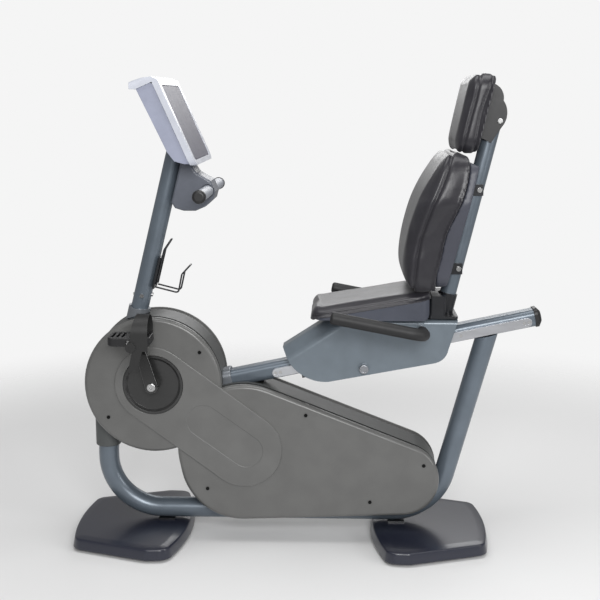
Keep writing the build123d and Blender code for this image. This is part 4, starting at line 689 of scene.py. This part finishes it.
FOOT_OUTER, FOOT_INNER, FOOT_HALF = -726.0, -360.0, 257.0
REAR_FOOT_SHIFT = -148.0
foot_sides = [
    arc_through((FOOT_OUTER + 20, 178), (FOOT_OUTER, 0), (FOOT_OUTER + 20, -178), 24),
    [(FOOT_OUTER + 20, -178), (FOOT_OUTER + 255, -FOOT_HALF)],
    [(FOOT_OUTER + 255, -FOOT_HALF), (FOOT_INNER - 44, 4 - FOOT_HALF)],
    arc_through((FOOT_INNER - 44, 4 - FOOT_HALF), (FOOT_INNER, 0), (FOOT_INNER - 44, FOOT_HALF - 4), 24),
    [(FOOT_INNER - 44, FOOT_HALF - 4), (FOOT_OUTER + 255, FOOT_HALF)],
    [(FOOT_OUTER + 255, FOOT_HALF), (FOOT_OUTER + 20, 178)],
]
foot_loop = rounded_loop(foot_sides, 42.0, 10)
FOOT_PROFILE = (
    (20.0, 16.0), (5.0, 16.0), (3.5, 9.6), (1.2, 9.0), (0.0, 10.2), (0.2, 14.0), (2.2, 26.0), (4.2, 36.0),
    (4.9, 38.6), (6.0, 40.6), (7.8, 41.8), (10.4, 42.4), (16.0, 43.2), (26.0, 44.5), (36.0, 45.2),
)


def foot_mesh(rear):
    bm = bmesh.new()
    rings = []
    for inset, z in FOOT_PROFILE:
        loop = inset_loop(foot_loop, inset)
        if rear:
            loop = [(REAR_FOOT_SHIFT - x, y) for x, y in loop]
        rings.append(in_floor_plane(loop, z))
    loft(bm, rings)
    return to_mesh(bm, "foot")


put("front_foot_moulding", foot_mesh(False), "foot_plastic", "frame", ["front_foot_cover"], 60)
put("rear_foot_moulding", foot_mesh(True), "foot_plastic", "frame", ["rear_foot_cover"], 60)

# --- Seat carriage -------------------------------------------------------------------------

PLATE_HALF, RIDGE_HALF, DECK_Z = 79.0, 35.0, 719.0
SHEET = 3.5
fold_line = [(-50.0, 591.0), (137.0, 713.0), (465.0, 713.0)]
ridge_line = [(-66.0, 619.0), (87.3, DECK_Z), (465.0, DECK_Z)]
side_edge = arc_through((-50, 591), (-14, 548), (75, 521), 14)[1:]
side_edge += arc_through((395, 582), (424, 597), (438, 625), 8)


def carriage_mesh():
    """The carriage as one folded sheet: two sides, a chamfer along each, deck and sloping front."""
    bm = bmesh.new()
    folds = []
    ridge, fold = {}, {}
    for sign in (-1, 1):
        fold[sign] = [bm.verts.new(Vector((x, sign * PLATE_HALF, z)) * MM) for x, z in fold_line]
        ridge[sign] = [bm.verts.new(Vector((x, sign * RIDGE_HALF, z)) * MM) for x, z in ridge_line]
        rim = [bm.verts.new(Vector((x, sign * PLATE_HALF, z)) * MM) for x, z in side_edge]
        bm.faces.new([fold[sign][0], *rim, fold[sign][2], fold[sign][1]])
        for i in range(2):
            bm.faces.new([fold[sign][i], fold[sign][i + 1], ridge[sign][i + 1], ridge[sign][i]])
            folds.append(edge_between(bm, fold[sign][i], fold[sign][i + 1]))
            folds.append(edge_between(bm, ridge[sign][i], ridge[sign][i + 1]))
        folds.append(edge_between(bm, fold[sign][1], ridge[sign][1]))
    for i in range(2):
        bm.faces.new([ridge[-1][i], ridge[-1][i + 1], ridge[1][i + 1], ridge[1][i]])
    folds.append(edge_between(bm, ridge[-1][1], ridge[1][1]))
    bmesh.ops.recalc_face_normals(bm, faces=bm.faces)
    if sum(f.normal.z * f.calc_area() for f in bm.faces) < 0:
        bmesh.ops.reverse_faces(bm, faces=bm.faces)
    bmesh.ops.bevel(
        bm, geom=folds, offset=11 * MM, offset_type="OFFSET", segments=6, profile=0.5, affect="EDGES"
    )
    mesh = bpy.data.meshes.new("carriage")
    bm.to_mesh(mesh)
    bm.free()
    obj = temporary(mesh)
    wall = obj.modifiers.new("wall", "SOLIDIFY")
    wall.thickness = SHEET * MM
    wall.offset = -1.0
    wall.use_even_offset = True
    return applied(obj)


carriage = bevelled(carriage_mesh(), 0.8, 2, 60)
put("carriage_sheet", carriage, "carriage_paint", "seat_carriage", ["carriage_hood"], 42)
KNOB, HANDLE_AXIS = (183.0, 564.0), (352.0, 690.0)
KNOB_STEPS, NOTCH_DEPTH = 120, 0.55
KNOB_BOSS = ((5.1, -82.0), (16.6, -82.0), (17.6, -81.6), (18.0, -80.6), (18.0, -62.0), (5.1, -62.0))
HANDLE_BOSS = ((13.2, 76.0), (18.4, 76.0), (18.4, 78.6), (17.5, 79.4), (13.2, 79.4))
KNOB_PROFILE = (
    (14.0, -82.5), (14.5, -83.2), (14.5, -91.0), (13.4, -92.8),
    (11.6, -93.4), (9.5, -93.3), (8.6, -92.4), (0.01, -92.2),
)


def bosses_mesh():
    """Turned bosses: one for the lock knob, and one on each side for the handle's tube."""
    bm = bmesh.new()
    lathe(bm, KNOB, KNOB_BOSS, 56)
    lathe(bm, HANDLE_AXIS, [(radius, -y) for radius, y in reversed(HANDLE_BOSS)], 48)
    lathe(bm, HANDLE_AXIS, HANDLE_BOSS, 48)
    return to_mesh(bm, "bosses")


def knob_mesh():
    """The lock's knob, with a knurled rim and a shallow dish in its face, on its pin."""
    bm = bmesh.new()
    rings = []
    for radius, y in KNOB_PROFILE:
        ring = []
        for k in range(KNOB_STEPS):
            a = math.tau * k / KNOB_STEPS
            reach = radius - (NOTCH_DEPTH if radius > 14 and k % 4 < 2 else 0.0)
            ring.append(Vector((KNOB[0] + reach * math.cos(a), y, KNOB[1] + reach * math.sin(a))) * MM)
        rings.append(ring)
    loft(bm, rings)
    lathe(bm, KNOB, ((5.0, -26.2), (5.0, -83.0)), 32)
    return to_mesh(bm, "knob")


bosses = bosses_mesh()
put("carriage_bosses", bosses, "carriage_paint", "seat_carriage", ["carriage_side_plates"])
put("lock_knob_turned", knob_mesh(), "knob_metal", "lock_pin", ["lock_knob"], 30)

# --- Seat pan ------------------------------------------------------------------------------

PAN_FRONT, PAN_REAR, PAN_FOOT, PAN_HALF = 34.0, 376.0, 725.0, 141.0
RUNNER_FRONT, RUNNER_REAR, RUNNER_HALF = 105.0, 345.0, 12.0


def seat_pan_mesh():
    """Wedge under the seat cushion, rounded in plan, with two runners below it."""
    sides = [
        [(PAN_FRONT, PAN_FOOT), (PAN_REAR, PAN_FOOT)],
        [(PAN_REAR, PAN_FOOT), (375.0, 788.0)],
        [(375.0, 788.0), (PAN_FRONT, 727.4)],
        [(PAN_FRONT, 727.4), (PAN_FRONT, PAN_FOOT)],
    ]
    plan_sides = [
        [(PAN_FRONT, -PAN_HALF), (PAN_REAR, -PAN_HALF)],
        [(PAN_REAR, -PAN_HALF), (PAN_REAR, PAN_HALF)],
        [(PAN_REAR, PAN_HALF), (PAN_FRONT, PAN_HALF)],
        [(PAN_FRONT, PAN_HALF), (PAN_FRONT, -PAN_HALF)],
    ]
    wedge = prism(rounded_loop(sides, [20.0, 5.0, 0.6, 0.6], 8), -150, 150)
    plan = prism(rounded_loop(plan_sides, 34.0, 10), 700, 800, in_floor_plane)
    pan = bevelled(cut(wedge, plan, "INTERSECT"), 4.0, 4, 40)
    bm = bmesh.new()
    for y in (-22.0, 22.0):
        near, far = y - RUNNER_HALF, y + RUNNER_HALF
        runner = [(RUNNER_FRONT, near), (RUNNER_REAR, near), (RUNNER_REAR, far), (RUNNER_FRONT, far)]
        loft(bm, [in_floor_plane(runner, z) for z in (719.2, 726.0)])
    return joined(pan, to_mesh(bm, "runners"))


put("seat_pan_moulding", seat_pan_mesh(), "pan_plastic", "seat_carriage", ["seat_pan"], 40)

# --- Cushions ------------------------------------------------------------------------------

VOXEL = 5.0
SIM_FRAMES = 20


def vertex_values(mesh, key):
    flat = np.empty(len(mesh.vertices) * 3, np.float32)
    mesh.vertices.foreach_get(key, flat)
    return flat.reshape(-1, 3).astype(float)


def coords(mesh):
    return vertex_values(mesh, "co")


def normals(mesh):
    return vertex_values(mesh, "normal")


def set_coords(mesh, points):
    mesh.vertices.foreach_set("co", points.astype(np.float32).ravel())
    mesh.update()


def remeshed(mesh, voxel, smoothing):
    """Even mesh of a solid, with its corners worn round."""
    obj = temporary(mesh)
    remesh = obj.modifiers.new("even", "REMESH")
    remesh.mode = "VOXEL"
    remesh.voxel_size = voxel * MM
    smooth = obj.modifiers.new("soft", "SMOOTH")
    smooth.factor = 0.5
    smooth.iterations = smoothing
    return applied(obj)


CALM_ROUNDS = 30


def calmed(mesh, travel):
    """How far each point moved, evened out with its neighbours so that no wrinkle is left."""
    ends = np.empty(len(mesh.edges) * 2, np.int32)
    mesh.edges.foreach_get("vertices", ends)
    first, second = ends.reshape(-1, 2).T
    count = np.bincount(first, minlength=len(travel)) + np.bincount(second, minlength=len(travel))
    for _ in range(CALM_ROUNDS):
        total = np.zeros_like(travel)
        for axis in range(3):
            total[:, axis] += np.bincount(first, travel[second, axis], len(travel))
            total[:, axis] += np.bincount(second, travel[first, axis], len(travel))
        travel = 0.5 * travel + 0.5 * total / np.maximum(count, 1)[:, None]
    return travel


def inflate(mesh, pressure, cap, rest_face):
    """Cloth filled under pressure; no point moves further than the cap, and the face that the
    pad rests on stays flat."""
    start = coords(mesh)
    facing = normals(mesh) @ np.array(rest_face, float)
    free = 1.0 - np.clip((facing - 0.35) / 0.35, 0, 1)
    obj = temporary(mesh)
    cloth = obj.modifiers.new("fill", "CLOTH")
    cloth.settings.use_pressure = True
    cloth.settings.uniform_pressure_force = pressure
    cloth.settings.effector_weights.gravity = 0.0
    cloth.settings.quality = 6
    cloth.settings.mass = 0.3
    cloth.settings.tension_stiffness = 15
    cloth.settings.compression_stiffness = 15
    cloth.settings.bending_stiffness = 0.5
    cloth.point_cache.frame_start = 1
    cloth.point_cache.frame_end = SIM_FRAMES
    for step in range(1, SIM_FRAMES + 1):
        scene.frame_set(step)
    result = applied(obj)
    scene.frame_set(1)
    travel = calmed(result, coords(result) - start)
    length = np.linalg.norm(travel, axis=1)
    share = np.minimum(1.0, cap * MM / np.maximum(length, 1e-9)) * free
    set_coords(result, start + travel * share[:, None])
    return result


def beside(points, line):
    """Where each point's side view lies beside a line: distance to its left (below zero to its
    right), distance along it, and the unit vector away from it, all in millimetres."""
    flat = points[:, [0, 2]] / MM
    best = np.full(len(flat), 1e9)
    off, along, away = np.zeros(len(flat)), np.zeros(len(flat)), np.zeros((len(flat), 2))
    run = 0.0
    for a, b in zip(line, line[1:]):
        a, step = np.array(a, float), np.array(b, float) - np.array(a, float)
        size = np.linalg.norm(step)
        share = np.clip(((flat - a) @ step) / size**2, 0, 1)
        gap = flat - a - share[:, None] * step
        distance = np.linalg.norm(gap, axis=1)
        left = step[0] * (flat[:, 1] - a[1]) - step[1] * (flat[:, 0] - a[0]) > 0
        near = distance < best
        best[near] = distance[near]
        off[near] = np.where(left, distance, -distance)[near]
        along[near] = (run + share * size)[near]
        away[near] = (gap / np.maximum(distance, 1e-6)[:, None])[near]
        run += size
    return off, along, away


CROWN_STEP = 24.0


def widest(values, along):
    """The largest value near each point's place along a line."""
    bins = (along / CROWN_STEP).astype(int)
    most = np.zeros(bins.max() + 1)
    np.maximum.at(most, bins, values)
    return np.interp(along, (np.arange(len(most)) + 0.5) * CROWN_STEP, most)


def crowned(mesh, line, turn):
    """Rounds the pad's side edges on the left of a line, this wide across the pad's face."""
    points = coords(mesh)
    off, along, away = beside(points, line)
    depth = np.maximum(widest(off, along), 1.0)
    half = widest(np.abs(points[:, 1]) / MM, along)
    a = np.clip((turn - half + np.abs(points[:, 1]) / MM) / turn, 0, 1)
    b = np.clip(off / depth, 0, 1)
    draw_in = turn * a * (np.sqrt(1 - b * b / 2) - 1)
    lower = depth * b * (np.sqrt(1 - a * a / 2) - 1)
    points[:, 1] += np.sign(points[:, 1]) * draw_in * MM
    points[:, 0] += away[:, 0] * lower * MM
    points[:, 2] += away[:, 1] * lower * MM
    set_coords(mesh, points)
    return mesh


def sew(mesh, line, depth, width, puff=1.2, sides_only=False):
    """Presses a seam into the pad along a line drawn in its side view, and puffs both edges."""
    points, outward = coords(mesh), normals(mesh)
    away = np.abs(beside(points, line)[0])
    press = -depth * np.exp(-((away / width) ** 2))
    swell = puff * np.exp(-(((away - 3 * width) / (2.2 * width)) ** 2))
    share = np.ones(len(points))
    if sides_only:
        share = np.clip((np.abs(outward[:, 1]) - 0.15) / 0.35, 0, 1)
    set_coords(mesh, points + outward * ((press + swell) * share * MM)[:, None])
    return mesh


def eased(mesh, iterations):
    """The mesh with its points drawn a little toward their neighbours."""
    obj = temporary(mesh)
    smooth = obj.modifiers.new("soft", "SMOOTH")
    smooth.factor = 0.5
    smooth.iterations = iterations
    return applied(obj)


def subdivided(mesh):
    obj = temporary(mesh)
    smooth = obj.modifiers.new("fine", "SUBSURF")
    smooth.levels = 1
    smooth.render_levels = 1
    return applied(obj)


def cushion(node, smoothing, pressure, cap, rest_face, crown_line, crown_turn):
    """The pad's mesh: the CAD solid remeshed, crowned, filled as cloth, and as tall as the CAD's."""
    mesh = crowned(remeshed(nodes[node].data.copy(), VOXEL, smoothing), crown_line, crown_turn)
    mesh = inflate(mesh, pressure, cap, rest_face)
    points, goal = coords(mesh), coords(nodes[node].data)[:, 2]
    low, high = points[:, 2].min(), points[:, 2].max()
    points[:, 2] = goal.min() + (points[:, 2] - low) * (np.ptp(goal) / (high - low))
    set_coords(mesh, points)
    return subdivided(mesh)


def finish_cushion(name, mesh, node):
    piece = put(name, mesh, "vinyl", "seat_carriage", [node], 180, weighted=False)


SEAT_SEAM = [(30, 736), (120, 752), (250, 775), (384, 799)]
seat = cushion("seat_cushion", 6, 6.0, 9.0, (0.18, 0, -0.98), SEAT_SEAM, 46.0)
seat = eased(sew(seat, SEAT_SEAM, 3.0, 3.4, 0.6, sides_only=True), 2)
finish_cushion("seat_pad", seat, "seat_cushion")

BACK_SEAM = [
    (322, 790), (326, 848), (331, 913), (341, 973), (354, 1017), (373, 1072), (395, 1122), (414, 1171),
    (430, 1226),
]
back = cushion("backrest_cushion", 5, 5.0, 10.0, (0.97, 0, -0.2), BACK_SEAM, 60.0)
back = eased(sew(back, BACK_SEAM, 5.5, 4.2, 1.2), 2)
finish_cushion("back_pad", back, "backrest_cushion")

HEAD_SEAM = [(459, 1205), (464, 1256), (479, 1322), (490, 1365), (499, 1408), (506, 1445)]
HEAD_REAR_SEAM = [(491, 1205), (494, 1240), (500, 1283), (509, 1336), (520, 1372), (535, 1415), (545, 1445)]
head = cushion("head_cushion", 3, 7.0, 9.0, (0.97, 0, -0.2), HEAD_SEAM, 42.0)
head = sew(head, HEAD_SEAM, 4.5, 3.8, 1.0)
head = eased(sew(head, HEAD_REAR_SEAM, 3.5, 3.2, 0.8), 2)
finish_cushion("head_pad", head, "head_cushion")

shell = remeshed(nodes["backrest_shell"].data.copy(), 4.0, 3)
put("backrest_moulding", shell, "shell_plastic", "seat_carriage", ["backrest_shell"], 180, weighted=False)

# --- Floor ---------------------------------------------------------------------------------

FLOOR_SOLID, FLOOR_GONE = 1.5, 2.9


def floor_material():
    """Pale matt paper that fades into the backdrop away from the object."""
    material, tree, shader = node_material("floor_paper")
    shader.inputs["Base Color"].default_value = (0.77, 0.77, 0.77, 1)
    shader.inputs["Roughness"].default_value = 0.95
    shader.inputs["Specular IOR Level"].default_value = 0.05
    place = add_node(tree, "ShaderNodeTexCoord")
    away = tree.nodes.new("ShaderNodeVectorMath")
    away.operation = "LENGTH"
    tree.links.new(place.outputs["Object"], away.inputs[0])
    fade = add_node(
        tree,
        "ShaderNodeMapRange",
        Value=(away, "Value"),
        **{"From Min": FLOOR_SOLID, "From Max": FLOOR_GONE, "To Min": 1.0, "To Max": 0.0},
    )
    fade.interpolation_type = "SMOOTHSTEP"
    tree.links.new(fade.outputs["Result"], shader.inputs["Alpha"])
    return material


bm = bmesh.new()
bmesh.ops.create_grid(bm, x_segments=8, y_segments=8, size=3.2)
floor_mesh = bpy.data.meshes.new("floor")
bm.to_mesh(floor_mesh)
bm.free()
floor_mesh.materials.append(floor_material())
floor = bpy.data.objects.new("floor", floor_mesh)
scene.collection.objects.link(floor)
